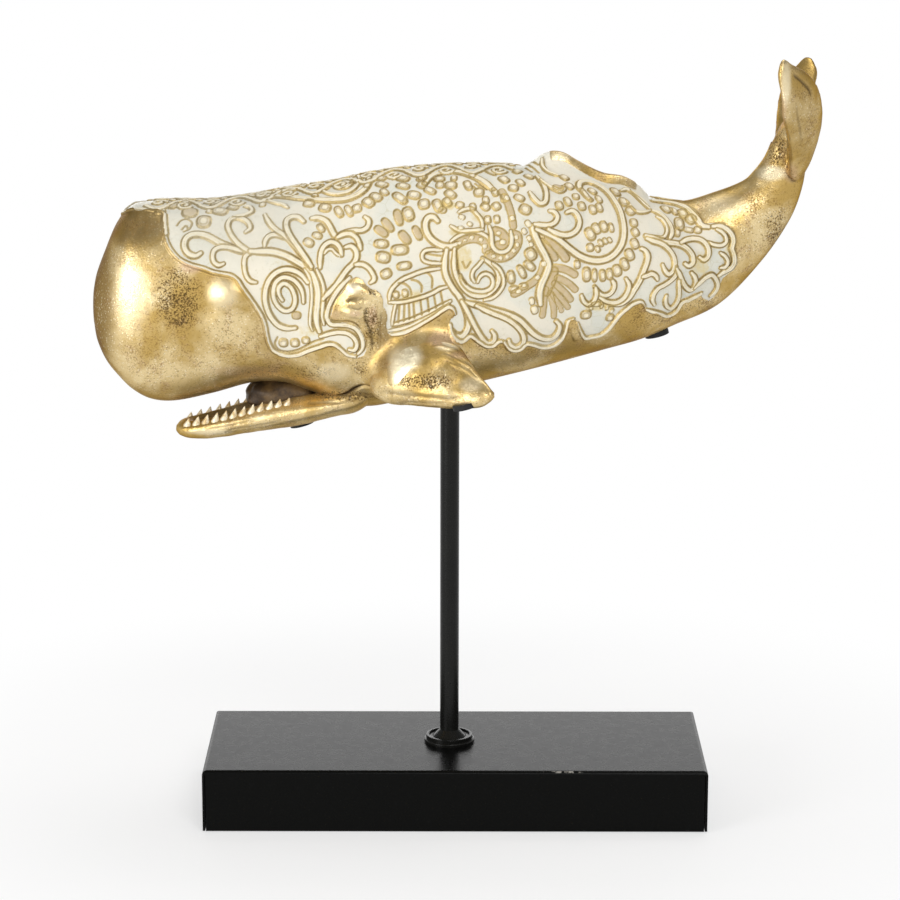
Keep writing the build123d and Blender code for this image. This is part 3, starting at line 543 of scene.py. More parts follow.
        (204, 270), (212, 273), (222, 275), (230, 276.5), (237, 281), (241, 287), (246, 294), (251, 301), (257, 310),
        (262, 319), (264.5, 327), (266, 335), (268, 343), (272, 350.5), (279, 355.5), (288, 357.5), (298, 356.5),
        (308, 352.5), (320, 348.5), (328, 345.5), (334, 346), (341, 351), (347, 356.5), (355, 359), (363, 356),
        (366, 350), (365.6, 343), (363.5, 336), (359.3, 329.5), (355, 325.2), (349.5, 323.4), (341, 322.4),
        (332.6, 321), (329.1, 321.7), (330.5, 315.4), (332.6, 307), (336.8, 298.5), (343.2, 290), (350.2, 278.5),
        (356.5, 277.3), (362, 280.3), (365.6, 285.2), (370.5, 289.4), (376, 290), (381, 295), (382.5, 300),
        (382.5, 307), (386, 311), (386.7, 318), (386, 326.6), (387.4, 333), (391, 335.5), (400, 334.5), (405, 333),
        (415, 328), (425, 322.5), (435, 316.5), (442, 311.5), (449, 308), (453, 309.5), (455, 314), (453, 318),
        (449.5, 319.5), (449, 325), (450.5, 331.5), (455, 337), (460, 340), (466, 339.5), (470, 337), (474, 338.5),
        (480, 343), (487, 347.5), (493, 347), (497, 343.5), (502, 341.5), (505, 344), (508, 348.5), (513, 351.5),
        (520, 350.5), (526, 345.5), (533, 346), (542, 348.5), (551, 347.5), (558, 343.5), (563, 338), (565.5, 331),
        (567, 325), (568.5, 320.5), (571, 318), (574, 318.5), (577, 322), (579, 328), (581, 334), (584, 338.5),
        (590, 338.5), (598, 337), (606, 332), (612, 326), (618, 318), (624, 311), (630, 307), (636, 303),
        (641, 301.5), (644, 304), (645, 309), (650, 312), (656, 311.5), (661, 314.5), (666, 316.5), (671, 315),
        (676, 311), (680, 305), (683, 301), (690, 300), (695, 297), (700, 294), (703, 297.5), (708, 300),
        (713, 296.5), (718, 290), (720, 283), (722, 277.5), (727, 273.5), (733, 269.5), (737, 263), (737, 256),
        (735, 248), (736, 240), (734, 232), (729, 226), (722, 222.5), (712, 222), (703, 222.5), (699, 218),
        (695, 211.5), (688, 206), (680, 202.5), (668, 200), (655, 198), (650, 195.5), (648, 120),
    ],
}


def insideOutline(points, outline):
    # even-odd test of many points against a closed outline
    inside = np.zeros(len(points), bool)
    x, y = points[:, 0], points[:, 1]
    for (ax, ay), (bx, by) in zip(outline, outline[1:] + outline[:1]):
        if ay == by:
            continue
        crosses = (ay > y) != (by > y)
        inside ^= crosses & (x < (bx - ax) * (y - ay) / (by - ay) + ax)
    return inside


def lineReach(spots, line):
    # distance of every spot to a line of points, and the share of the line at its nearest place
    best = np.full(len(spots), 1e9)
    share = np.zeros(len(spots))
    for i, (a, b) in enumerate(zip(line[:-1], line[1:])):
        d = b - a
        t = np.clip(((spots - a) @ d) / max(d @ d, 1e-9), 0, 1)
        away = np.linalg.norm(spots - a - t[:, None] * d, axis=1)
        nearer = away < best
        best[nearer] = away[nearer]
        share[nearer] = (i + t[nearer]) / (len(line) - 1)
    return best, share


def nearLine(line, wide, margin):
    # grid points near a line, their distance to it in half widths and their share of its length
    low, high = line.min(0) - margin, line.max(0) + margin
    near = np.where(((flatSpots > low) & (flatSpots < high)).all(1))[0]
    away, share = lineReach(flatSpots[near], line)
    return near, away / wide, share


def layLine(points):
    # a line in pixels, laid on the skin
    hits = [onSkin(x, y) for x, y in smoothRun(points)]
    hits = [h for h in hits if h is not None]
    if len(hits) < 2:
        print("off the skin", points[0])
        hits = [np.zeros(3)] * 2
    return np.array(hits)


# flippers: place along, distance out, level, half chord, half thickness, tilt
flipper = {
    "chord": 36.0, "thick": 17.0,
    "sections": [
        (0.386, 0.420, 0.165, 0.11, 0.20, 66), (0.396, 0.440, 0.190, 0.28, 0.32, 66),
        (0.416, 0.481, 0.221, 0.44, 0.44, 65),
        (0.449, 0.541, 0.231, 0.49, 0.50, 60), (0.483, 0.590, 0.224, 0.49, 0.47, 54),
        (0.511, 0.650, 0.200, 0.39, 0.38, 51),
        (0.531, 0.724, 0.172, 0.24, 0.29, 50), (0.545, 0.779, 0.164, 0.10, 0.18, 60),
        (0.551, 0.785, 0.163, 0.03, 0.07, 60),
    ],
    # half width, depth, points in the photograph's pixels
    "creases": [
        (1.6, 0.55, [(428, 347), (440, 345.5), (452, 349), (462, 354), (470, 358)]),
        (1.4, 0.50, [(438, 354), (450, 356), (460, 360), (472, 366), (478, 373)]),
        (1.2, 0.35, [(446, 361), (458, 366), (468, 371), (478, 380)]),
        (2.2, 0.50, [(360, 392), (380, 392), (400, 394), (425, 397), (450, 399), (468, 398)]),
        (1.3, 0.30, [(400, 402), (425, 403), (450, 403.5)]),
    ],
    # the shoulder: how much of the flipper it takes up, how soft, and where along the whale it ends
    "rootTall": 13.0, "rootSoft": 3.6, "rootShare": 1.45, "rootCast": 24.0, "rootEnd": (0.475, 0.525),
    "swell": 1.3, "swellReach": 4.0, "waves": ((9, 0.35), (3.5, 0.12)),        # waves: reach and height in mm
}


def flipperGrid(lengthSteps, roundSteps):
    where = np.linspace(0, len(flipper["sections"]) - 1, lengthSteps)
    turns = np.linspace(0, 2 * math.pi, roundSteps, endpoint=False)
    rings = []
    for along, out, level, chord, thick, lean in rowsAt(flipper["sections"], where):
        tilt = math.radians(lean)
        slant = np.array([0, math.cos(tilt), math.sin(tilt)])
        outward = np.array([0, -math.sin(tilt), math.cos(tilt)])
        a = np.cos(turns)[:, None] * chord * flipper["chord"]
        b = np.sin(turns)[:, None] * thick * flipper["thick"]
        rings.append(spotAt(along, -out, level) + slant * a + outward * b)
    return np.array(rings)


def roundTree(grid):
    # a closed form as a tree that lines of sight can be cast on
    n, m = grid.shape[:2]
    faces = [(i * m + j, i * m + (j + 1) % m, (i + 1) * m + (j + 1) % m, (i + 1) * m + j)
             for i in range(n - 1) for j in range(m)]
    return BVHTree.FromPolygons([Vector(p) for p in grid.reshape(-1, 3)], faces)


def roundNormals(grid):
    along = np.gradient(grid, axis=0)
    around = (np.roll(grid, -1, 1) - np.roll(grid, 1, 1)) / 2
    normal = np.cross(along, around)
    normal /= np.linalg.norm(normal, axis=2, keepdims=True) + 1e-12
    return normal * np.sign((normal * (grid - grid.mean(1, keepdims=True))).sum(2).mean())


def pressCreases(spots, normals, tree, creases):
    # draws the listed lines into a form; gives the points and how deep each was pressed
    flat, up = spots.reshape(-1, 3).copy(), normals.reshape(-1, 3)
    depth = np.zeros(len(flat))
    for halfWide, deep, points in creases:
        hits = [castOn(tree, x, y) for x, y in smoothRun(points)]
        line = np.array([h for h in hits if h is not None])
        if len(line) < 2:
            continue
        away, along = lineReach(flat, line)
        depth = np.maximum(depth, deep * fadeEnds(along, 0, 0.2) * bell(away, 0, halfWide * relief["pixel"]))
    return (flat - up * depth[:, None]).reshape(spots.shape), depth.reshape(spots.shape[:-1])


def ripple(spot, waves):
    # unevenness of a hand-finished casting, in mm
    return sum(noise.noise(Vector(spot) / reach) * tall for reach, tall in waves)


flipperForm = flipperGrid(150, 110)
flipperTree = roundTree(flipperForm)

print("relief")
flatSpots = smoothGrid.reshape(-1, 3)
flatPixels = toPixels(flatSpots)
count = len(flatSpots)
lift = np.zeros(count)         # mm over the smooth skin
wash = np.zeros(count)         # gold and brown that settled beside raised lines
crest = np.zeros(count)        # pale worn tops
tan = np.zeros(count)          # tan fillings
coat = insideOutline(flatPixels, relief["coat"]).astype(float)
coat[flatPixels[:, 1] > relief["coatLow"]] = 0
facing = smoothNormals.reshape(-1, 3)[:, 2]
coatTop = relief["coatTop"]
coat[(flatSpots[:, 1] > coatTop["out"]) & (facing > coatTop["facing"])
     & (flatSpots[:, 0] > coatTop["first"]) & (flatSpots[:, 0] < coatTop["last"])] = 1

for halfWide, points in relief["bands"].values():
    wide = halfWide * relief["pixel"]
    near, t, _ = nearLine(layLine(points), wide, 2 * wide)
    keepMost(lift, near, relief["bandTall"] * (1 - smoothStep(0.55, 1.15, t)))
    keepMost(tan, near, 1 - smoothStep(0.72, 1.02, t))
    keepMost(wash, near, bell(t, 0.98, 0.2))

for halfWide, points in relief["ribs"].values():
    wide = halfWide * relief["pixel"]
    near, t, share = nearLine(layLine(points), wide, 2 * wide)
    taper = 0.72 + 0.28 * fadeEnds(share, 0, 0.12)
    t = t / taper
    top, side = np.clip(1 - t**2, 0, 1) ** 0.6, bell(t, 0.96, 0.33)
    if halfWide > relief["grooveFrom"]:
        top = top - relief["grooveShare"] * bell(t, 0, 0.22) * fadeEnds(share, 0.04, 0.2)
        side = side + relief["grooveWash"] * bell(t, 0, 0.20) * fadeEnds(share, 0.04, 0.2)
    keepMost(lift, near, relief["ribTall"] * taper * top)
    lift[near] -= 0.18 * bell(t, 1.25, 0.18) * (lift[near] < 0.2)
    tan[near] *= 1 - (t < 0.85)
    wash[near] = np.maximum(wash[near] * smoothStep(0.6, 1.0, t), side)
    keepMost(crest, near, 1 - smoothStep(0.30, 0.62, t))


def studAxes(x, y, halfLong, halfWide, turn):
    # the stud's middle and its two half axes, laid on the skin
    c, s = math.cos(math.radians(turn)), math.sin(math.radians(turn))
    ends = [onSkin(x + k * c * halfLong, y + k * s * halfLong) for k in (1, -1)]
    sides = [onSkin(x - k * s * halfWide, y + k * c * halfWide) for k in (1, -1)]
    middle = onSkin(x, y)
    if middle is None or any(e is None for e in ends + sides):
        return None
    return middle, (ends[0] - ends[1]) / 2, (sides[0] - sides[1]) / 2


def markStud(near, t, washPlace):
    # pale middle, tan ring and gilt edge
    crest[near] = np.maximum(crest[near] * smoothStep(0.5, 0.9, t), 1 - smoothStep(0.25, 0.5, t))
    keepMost(tan, near, 0.75 * bell(t, 0.62, 0.16))
    keepMost(wash, near, bell(t, washPlace, 0.17))


studsLaid = []
for kind, studs in relief["studs"].items():
    isRing, isDot = kind == "ring", kind == "dot"
    for stud in studs:
        laid = studAxes(*stud)
        if laid is None:
            continue
        middle, longAxis, wideAxis = laid
        wideAxis = wideAxis - longAxis * (wideAxis @ longAxis) / (longAxis @ longAxis)
        longReach, wideReach = np.linalg.norm(longAxis), np.linalg.norm(wideAxis)
        size = min(longReach, wideReach)
        crowded = isRing and any(np.linalg.norm(middle - spot) < relief["studRoom"] * (size + other)
                                 for spot, other in studsLaid)
        if wideReach < 0.3 or crowded:
            continue
        if isRing:
            studsLaid.append((middle, size))
        near = np.where(np.linalg.norm(flatSpots - middle, axis=1) < 1.6 * max(longReach, wideReach))[0]
        rel = flatSpots[near] - middle
        grow, square = relief["ringGrow"] if isRing else 1.0, relief["studSquare"]
        a = rel @ longAxis / (longAxis @ longAxis) / grow
        b = rel @ wideAxis / (wideAxis @ wideAxis) / grow
        t = (np.abs(a) ** square + np.abs(b) ** square) ** (1 / square)
        dome = np.clip(1 - t**2, 0, 1) ** 0.6 - isRing * relief["ringDimple"] * bell(t, 0, 0.34)
        tall = relief["studTall"] * (relief["dotTall"] if isDot else 1.0)
        keepMost(lift, near, tall * dome + isDot * relief["bandTall"] * relief["dotSeat"] * (t < 1))
        if isDot:
            keepMost(crest, near, 1 - smoothStep(0.6, 1.0, t))
            tan[near] *= smoothStep(0.7, 1.0, t)
            wash[near] = np.maximum(wash[near] * smoothStep(0.7, 1.0, t), 0.8 * bell(t, 1.05, 0.2))
        elif isRing:
            markStud(near, t, 0.92)
            keepMost(wash, near, 0.40 * bell(t, 0.52, 0.16))
        else:
            keepMost(tan, near, 1 - smoothStep(0.7, 0.95, t))
            keepMost(wash, near, bell(t, 0.95, 0.16))


def skinPlace(along, out):
    # nearest grid point of the upper side at a place along and a distance out
    x = spotAt(along, 0, 0)[0]
    column = int(np.argmin(np.abs(smoothGrid[:, rows // 4, 0] - x)))
    row = int(np.argmin(np.abs(smoothGrid[column, : rows // 2, 1] + out)))
    return smoothGrid[column, row]


def raiseRib(line, wide):
    near, t, _ = nearLine(line, wide, 2 * wide)
    keepMost(lift, near, relief["ribTall"] * 0.85 * np.clip(1 - t**2, 0, 1) ** 0.7)
    wash[near] = np.maximum(wash[near] * smoothStep(0.6, 1.0, t), bell(t, 0.94, 0.30))
    keepMost(crest, near, 1 - smoothStep(0.30, 0.62, t))


def raiseStud(middle, half):
    near = np.where(np.linalg.norm(flatSpots - middle, axis=1) < 1.5 * half)[0]
    t = np.linalg.norm(flatSpots[near] - middle, axis=1) / half
    keepMost(lift, near, relief["studTall"] * np.clip(1 - t**2, 0, 1) ** 0.6)
    markStud(near, t, 0.9)


# a rim along the coat's front edge on top of the head, with its limits in mm
coatRim = {"out": -27.0, "front": -120.0, "least": 24, "mirrored": 8, "window": 17, "every": 3, "rib": 1.5}
coatGrid = coat.reshape(columns, rows)
edge = [smoothGrid[np.argmax(coatGrid[:, row] > 0.5), row] for row in range(rows // 3) if coatGrid[:, row].any()]
edge = np.array([spot for spot in edge if spot[1] > coatRim["out"] and spot[0] < coatRim["front"]])
if len(edge) > coatRim["least"]:
    more, window = coatRim["mirrored"], coatRim["window"]
    ends = np.concatenate([np.repeat(edge[:1] * (1, -1, 1), more, 0), edge, np.repeat(edge[-1:], more, 0)])
    edge = np.stack([np.convolve(ends[:, k], np.ones(window) / window, "valid") for k in range(3)], -1)
    raiseRib(edge[::coatRim["every"]], coatRim["rib"])

# the top of the back, which the photograph doesn't show: a wavy stem with curls and studs
backRun = {
    "first": 0.075, "last": 0.575, "waves": 7, "reach": 5.5, "middle": 8.0, "rib": 1.5,
    "curl": 3.4, "curlOut": 2.2, "curlRib": 0.72, "stud": 1.9, "studOut": 8.2, "ridgeStud": 1.1,
}
span = backRun["last"] - backRun["first"]
shares = np.linspace(0, 1, 260)
swing = np.sin(shares * 2 * math.pi * backRun["waves"])
raiseRib(np.array([skinPlace(backRun["first"] + span * a, backRun["middle"] + backRun["reach"] * b)
                   for a, b in zip(shares, swing)]), backRun["rib"])
for k in range(2 * backRun["waves"]):
    along = backRun["first"] + span * (k + 0.5) / (2 * backRun["waves"])
    way = 1 if k % 2 else -1
    out = backRun["middle"] + way * backRun["curlOut"]
    curl = []
    for turn in np.linspace(0.4, 2.3 * math.pi, 26):
        size = backRun["curl"] * (1.15 - turn / (2.6 * math.pi))
        curl.append(skinPlace(along + size * math.cos(turn) / whale["long"], out + way * size * math.sin(turn)))
    raiseRib(np.array(curl), backRun["rib"] * backRun["curlRib"])
    raiseStud(skinPlace(along, backRun["middle"] - way * backRun["studOut"]), backRun["stud"])
    raiseStud(skinPlace(along + span / (4 * backRun["waves"]), 0.0), backRun["stud"] * backRun["ridgeStud"])

for points in relief["lines"]:
    near, t, _ = nearLine(layLine(points), relief["lineWide"], 1.6)
    lift[near] -= relief["lineDeep"] * bell(t, 0, 1)
    keepMost(wash, near, bell(t, 0, 1))

# the coat's edge is softened a little
softCoat = coatGrid.copy()
for _ in range(2):
    softCoat[1:-1, 1:-1] = (softCoat[1:-1, 1:-1] * 2 + softCoat[:-2, 1:-1] + softCoat[2:, 1:-1]
                            + softCoat[1:-1, :-2] + softCoat[1:-1, 2:]) / 6
coat = softCoat.reshape(-1)

# gold top of the back ridge, in mm
ridgeLeaf = {"front": (44.0, 47.0), "back": (84.0, 92.0), "deep": (2.0, 5.5), "out": 12.0}
ridgeX = flatSpots[:, 0]
ridgeTop = smoothGrid[:, :1, 2].repeat(rows, 1).reshape(-1)
ridgeGold = (smoothStep(*ridgeLeaf["front"], ridgeX) * (1 - smoothStep(*ridgeLeaf["back"], ridgeX))
             * (1 - smoothStep(*ridgeLeaf["deep"], ridgeTop - flatSpots[:, 2]))
             * (np.abs(flatSpots[:, 1]) < ridgeLeaf["out"]))
coat = coat * (1 - ridgeGold)

# head, eye and mouth: broad forms outside the coat, in pixels
skinForms = {
    # x, y, half width, half height, turn, mm
    "bumps": [
        (231, 297, 20, 18, 0, 2.7), (220, 324, 14, 12, 0, 0.7), (355, 288, 12, 8, 20, 1.4),
        (372, 297, 12, 7, 35, 1.2),
        (356.5, 304.2, 6.0, 3.2, 0, 0.9), (373, 313, 5, 11, 8, 1.1), (352, 315, 12, 3.4, 6, 0.6),
        (140, 300, 26, 40, 0, 0.5), (190, 300, 16, 26, 0, 0.25),
    ],
    # half width, depth, points
    "creases": [
        (1.3, 0.7, [(345, 303), (350, 299.5), (356, 298), (362, 299), (368, 302.5)]),
        (1.1, 0.5, [(347, 306), (352, 309), (358, 310), (363, 307.5)]),
        (1.7, 0.6, [(365.5, 306), (365, 314), (366, 322), (370, 332), (372, 342), (373, 352)]),
        (1.5, 0.3, [(380, 310), (381, 320), (379, 330), (382, 342)]),
        (0.9, 0.35, [(327, 315), (330, 320), (336, 322), (350, 322), (357, 326), (362, 333)]),
        (2.0, 1.1, [(318, 399), (330, 397.5), (345, 395), (357, 388), (368, 384), (380, 380), (390, 379)]),
        (1.6, 0.5, [(300, 404), (316, 403), (332, 404)]),
        (1.3, 0.35, [(350, 312), (356, 314), (361, 317)]),
        (1.8, 0.6, [(545, 153), (544, 158), (543, 163)]),
    ],
}
for *form, tall in skinForms["bumps"]:
    laid = studAxes(*form)
    if laid is None:
        continue
    middle, longAxis, wideAxis = laid
    near = np.where(np.linalg.norm(flatSpots - middle, axis=1) < 2.5 * np.linalg.norm(longAxis + wideAxis))[0]
    rel = flatSpots[near] - middle
    t = np.hypot(rel @ longAxis / (longAxis @ longAxis), rel @ wideAxis / (wideAxis @ wideAxis))
    lift[near] += tall * np.exp(-(t * 1.1) ** 2.6)
for halfWide, deep, points in skinForms["creases"]:
    wide = halfWide * relief["pixel"]
    near, t, share = nearLine(layLine(points), wide, 4 * wide)
    lift[near] -= deep * fadeEnds(share, 0, 0.15) * bell(t, 0, 1)


def soften(grid, reach):
    # averages over a few mm, three times each way
    width = max(1, int(reach / gridStep))
    whole = 2 * width + 1
    for _ in range(3):
        for axis in (0, 1):
            size = grid.shape[axis]
            before, after = grid.take([0], axis), grid.take([-1], axis)
            run = np.cumsum(np.concatenate([np.repeat(before, width + 1, axis), grid,
                                            np.repeat(after, width, axis)], axis), axis)
            grid = (run.take(range(whole, whole + size), axis) - run.take(range(size), axis)) / whole
    return grid


# the skin swells to meet the flipper: how far that stands over the skin, softened all round
over = np.zeros(count)
cast = flipper["rootCast"]
rootLow, rootHigh = flipperForm.reshape(-1, 3).min(0) - 4, flipperForm.reshape(-1, 3).max(0) + 4
flatUps = smoothNormals.reshape(-1, 3)
for k in np.where(((flatSpots > rootLow) & (flatSpots < rootHigh)).all(1))[0]:
    hit = flipperTree.ray_cast(Vector(flatSpots[k] + flatUps[k] * cast), Vector(-flatUps[k]), cast)[3]
    if hit is not None:
        over[k] = cast - hit
rootFirst, rootLast = (spotAt(share, 0, 0)[0] for share in flipper["rootEnd"])
over *= 1 - smoothStep(rootFirst, rootLast, flatSpots[:, 0])
shoulder = soften(np.minimum(over, flipper["rootTall"]).reshape(columns, rows), flipper["rootSoft"]).reshape(-1)
lift += shoulder * flipper["rootShare"]

lift += relief["ground"] * coat
liftGrid = lift.reshape(columns, rows)
liftGrid[:, 0] = liftGrid[:, 1]
liftGrid[:, -1] = liftGrid[:, -2]
skin = smoothGrid + smoothNormals * liftGrid[..., None]
skin[:, 0, 1] = 0
skin[:, -1, 1] = 0
skinNormals = gridNormals(skin)
skinNormals[:, 0, 1] = 0
skinNormals[:, -1, 1] = 0
skinNormals /= np.linalg.norm(skinNormals, axis=2, keepdims=True)
coated = smoothStep(0.3, 0.7, coat)
masks = {"coat": coat}
for name, value in (("wash", wash), ("crest", crest), ("tan", tan)):
    masks[name] = np.clip(value, 0, 1) * coated

# wear and stains, painted shade and painted highlights, placed by their pixels in the camera's view
wearAndPaintedLightSpots = {
    # pixels: x, y, half width, half height, share
    "worn": [
        (178, 300, 26, 36, 0.9), (372, 332, 9, 26, 0.7), (366, 317, 4, 12, 1.0), (425, 382, 32, 9, 1.0),
        (372, 293, 7, 4, 0.9),
        (285, 372, 60, 8, 0.55), (345, 396, 40, 6, 0.8), (130, 225, 26, 10, 0.5), (590, 325, 14, 9, 0.8),
        (775, 145, 12, 25, 0.8),
        (802, 90, 8, 9, 0.45), (650, 315, 30, 12, 0.5), (760, 200, 20, 20, 0.3), (500, 352, 60, 8, 0.4),
        (230, 345, 30, 20, 0.3),
        (775, 225, 14, 20, 0.7), (700, 305, 30, 10, 0.5), (155, 350, 30, 20, 0.25), (360, 368, 10, 8, 0.7),
    ],
    # painted shade: darker spots on the head's left edge and top, under the head and the body, in the hollow before
    # the shoulder, on the tail, and over the upper front of the coat
    "aged": [
        (235, 225, 85, 42, 0.55), (180, 215, 40, 24, 0.35),
        (92, 290, 24, 125, 1.0), (122, 226, 46, 26, 0.75), (160, 396, 60, 12, 0.35), (800, 110, 16, 60, 0.35),
        (384, 340, 9, 34, 0.8), (272, 330, 22, 40, 0.25), (790, 250, 26, 40, 0.4), (600, 345, 90, 12, 0.35),
    ],
    "stained": [
        (462, 258, 13, 18, 0.75), (446, 205, 12, 7, 0.8), (478, 217, 12, 7, 0.6), (455, 232, 10, 6, 0.7),
        (300, 332, 30, 8, 0.6),
        (245, 305, 16, 20, 0.55), (325, 345, 30, 6, 0.5), (690, 215, 16, 10, 0.75), (610, 245, 20, 10, 0.45),
        (560, 205, 10, 8, 0.5),
        (700, 262, 12, 16, 0.6), (410, 298, 18, 10, 0.6), (520, 345, 30, 8, 0.5), (400, 225, 24, 16, 0.35),
        (285, 262, 14, 10, 0.4),
        (600, 305, 22, 8, 0.6), (730, 245, 8, 16, 0.5), (200, 240, 20, 8, 0.4),
    ],
    # painted highlights: paler gold spots where highlights fall, on the head, its side bump, the brow, the cheek, the
    # shoulder and flipper, the jaw, the back and the tail
    "rubbed": [
        (132, 295, 20, 38, 0.38), (222, 294, 17, 16, 0.5), (405, 357, 17, 15, 1.0), (353, 289, 8, 6, 0.8),
        (448, 345, 14, 6, 0.7),
        (770, 172, 16, 8, 0.7), (785, 80, 5, 24, 0.6), (728, 205, 22, 12, 0.35), (335, 372, 18, 10, 0.4),
        (210, 433, 24, 3, 0.5),
        (470, 385, 12, 8, 0.4), (560, 156, 16, 4, 0.5),
    ],
    "rosy": [
        (190, 268, 12, 7, 1.0), (440, 338, 16, 9, 0.9), (372, 317, 5, 12, 0.9), (355, 314, 7, 3, 0.8),
        (335, 315, 6, 5, 0.5),
        (460, 355, 12, 4, 0.8), (790, 172, 8, 10, 0.6), (782, 108, 4, 20, 0.6), (245, 372, 40, 6, 0.4),
    ],
}


def wearAndPaintedLightAt(spots):
    # named shares of wear, stains, painted shade and painted highlights for points in mm, by their pixels in the
    # camera's view
    pixels = toPixels(np.stack([spots[..., 0], -np.abs(spots[..., 1]), spots[..., 2]], -1))
    found = {}
    for kind, blots in wearAndPaintedLightSpots.items():
        total = np.zeros(spots.shape[:-1])
        for x, y, wide, tall, share in blots:
            away = np.hypot((pixels[..., 0] - x) / wide, (pixels[..., 1] - y) / tall)
            total = np.maximum(total, share * (1 - smoothStep(0.5, 1.25, away)))
        found[kind] = total
    return found


masks = {name: value.reshape(columns, rows) for name, value in masks.items()}
masks.update(wearAndPaintedLightAt(smoothGrid))
hollows = -np.minimum(liftGrid, 0) * (coat.reshape(columns, rows) < 0.5)
masks["pit"] = np.clip(hollows * 1.2, 0, 1)


def place(obj, body="root"):
    # puts an object into the scene, to ride with a body
    bpy.context.scene.collection.objects.link(obj)
    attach(obj, body)
    return obj


def sheetMesh(name, spots, normals, values, closed=False):
    # a grid of points, in mm, as a smooth mesh with its own normals and named values
    n, m = spots.shape[:2]
    index = np.arange(n * m).reshape(n, m)
    if closed:
        index = np.concatenate([index, index[:, :1]], 1)
    quads = np.stack([index[:-1, :-1], index[1:, :-1], index[1:, 1:], index[:-1, 1:]], -1).reshape(-1, 4)
    flat, up = spots.reshape(-1, 3) * mm, normals.reshape(-1, 3)
    a, b, d = flat[quads[:, 0]], flat[quads[:, 1]], flat[quads[:, 3]]
    if (np.cross(b - a, d - a) * up[quads[:, 0]]).sum(1).mean() < 0:
        quads = quads[:, ::-1]
    data = bpy.data.meshes.new(name)
    data.vertices.add(n * m)
    data.vertices.foreach_set("co", flat.astype(np.float32).ravel())
    data.loops.add(len(quads) * 4)
    data.loops.foreach_set("vertex_index", quads.astype(np.int32).ravel())
    data.polygons.add(len(quads))
    data.polygons.foreach_set("loop_start", np.arange(0, len(quads) * 4, 4, dtype=np.int32))
    data.update(calc_edges=True)
    for mask, grid in values.items():
        layer = data.attributes.new(mask, "FLOAT", "POINT")
        layer.data.foreach_set("value", grid.astype(np.float32).ravel())
    data.shade_smooth()
    data.normals_split_custom_set_from_vertices(up.astype(np.float32))
    return bpy.data.objects.new(name, data)


def gridPiece(name, first, last, side):
    # one patch of the skin as its own object, with the whole skin's normals
    turn = np.array([1, side, 1])
    values = {key: grid[first:last + 1] for key, grid in masks.items()}
    return sheetMesh(name, skin[first:last + 1] * turn, skinNormals[first:last + 1] * turn, values)


middleRow = smoothGrid[:, rows // 2, 0]
splitColumns = [int(np.argmin(np.abs(middleRow - spotAt(share, 0, 0)[0]))) for share in whale["splits"]]
splitColumns = [0] + splitColumns + [columns - 1]
skinPieces = []
for sideName, side in (("left", 1), ("right", -1)):
    for number, (first, last) in enumerate(zip(splitColumns[:-1], splitColumns[1:]), 1):
        piece = gridPiece(f"whale_skin_{sideName}_{number}", first, last, side)
        place(piece)
        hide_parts("whale_body")
        skinPieces.append(piece)
print("skin pieces", [len(p.data.polygons) for p in skinPieces])


class Wire:
    # a socket that can be used in plain sums
    def __init__(self, sheet, socket):
        self.sheet, self.socket = sheet, socket

    def maths(self, how, a, b):
        return self.sheet.node("Math", {"operation": how}, {0: a, 1: b})

    def __add__(self, other): return self.maths("ADD", self, other)
    def __radd__(self, other): return self.maths("ADD", other, self)
    def __sub__(self, other): return self.maths("SUBTRACT", self, other)
    def __rsub__(self, other): return self.maths("SUBTRACT", other, self)
    def __mul__(self, other): return self.maths("MULTIPLY", self, other)
    def __rmul__(self, other): return self.maths("MULTIPLY", other, self)


class Sheet:
    # one material's nodes
    def __init__(self, name):
        self.material = bpy.data.materials.new(name)
        self.material.use_nodes = True
        self.tree = self.material.node_tree
        self.tree.nodes.clear()

    def node(self, kind, settings=None, inputs=None, out=0):
        # adds a node: settings first, then the values or links of its sockets
        made = self.tree.nodes.new("ShaderNode" + kind)
        for key, value in (settings or {}).items():
            setattr(made, key, value)
        for key, value in (inputs or {}).items():
            socket = made.inputs[key]
            if isinstance(value, Wire):
                self.tree.links.new(value.socket, socket)
            elif socket.type == "RGBA":
                socket.default_value = (*value, 1)
            else:
                socket.default_value = value
        return Wire(self, made.outputs[out]) if made.outputs else None

    def where(self):
        return self.node("TexCoord", out="Object")

    def axes(self, where):
        parts = self.node("SeparateXYZ", {}, {"Vector": where})
        return [Wire(self, socket) for socket in parts.socket.node.outputs]

    def mask(self, name):
        return self.node("Attribute", {"attribute_name": name}, out="Fac")

    def noise(self, scale, detail, rough, where, warp=0.0):
        return self.node("TexNoise", {}, {
            "Vector": where, "Scale": scale, "Detail": detail, "Roughness": rough, "Distortion": warp})

    def cells(self, scale, where, feature="F1"):
        return self.node("TexVoronoi", {"feature": feature}, {"Vector": where, "Scale": scale}, "Distance")

    def ramp(self, value, low, high):
        # 0 below low and 1 above high
        return self.node("MapRange", {"interpolation_type": "SMOOTHSTEP", "clamp": True},
                         {"Value": value, "From Min": low, "From Max": high})

    def blend(self, share, a, b):
        # mixes two colours
        return self.node("Mix", {"data_type": "RGBA"}, {0: share, 6: a, 7: b}, 2)

    def bump(self, height, reach, strength):
        return self.node("Bump", {}, {"Height": height, "Distance": reach, "Strength": strength})

    def finish(self, **inputs):
        # closes the material with one shader; an underscore stands for a space
        named = {key.replace("_", " "): value for key, value in inputs.items()}
        shader = self.node("BsdfPrincipled", {}, named)
        self.node("OutputMaterial", {}, {"Surface": shader})
        return self.material


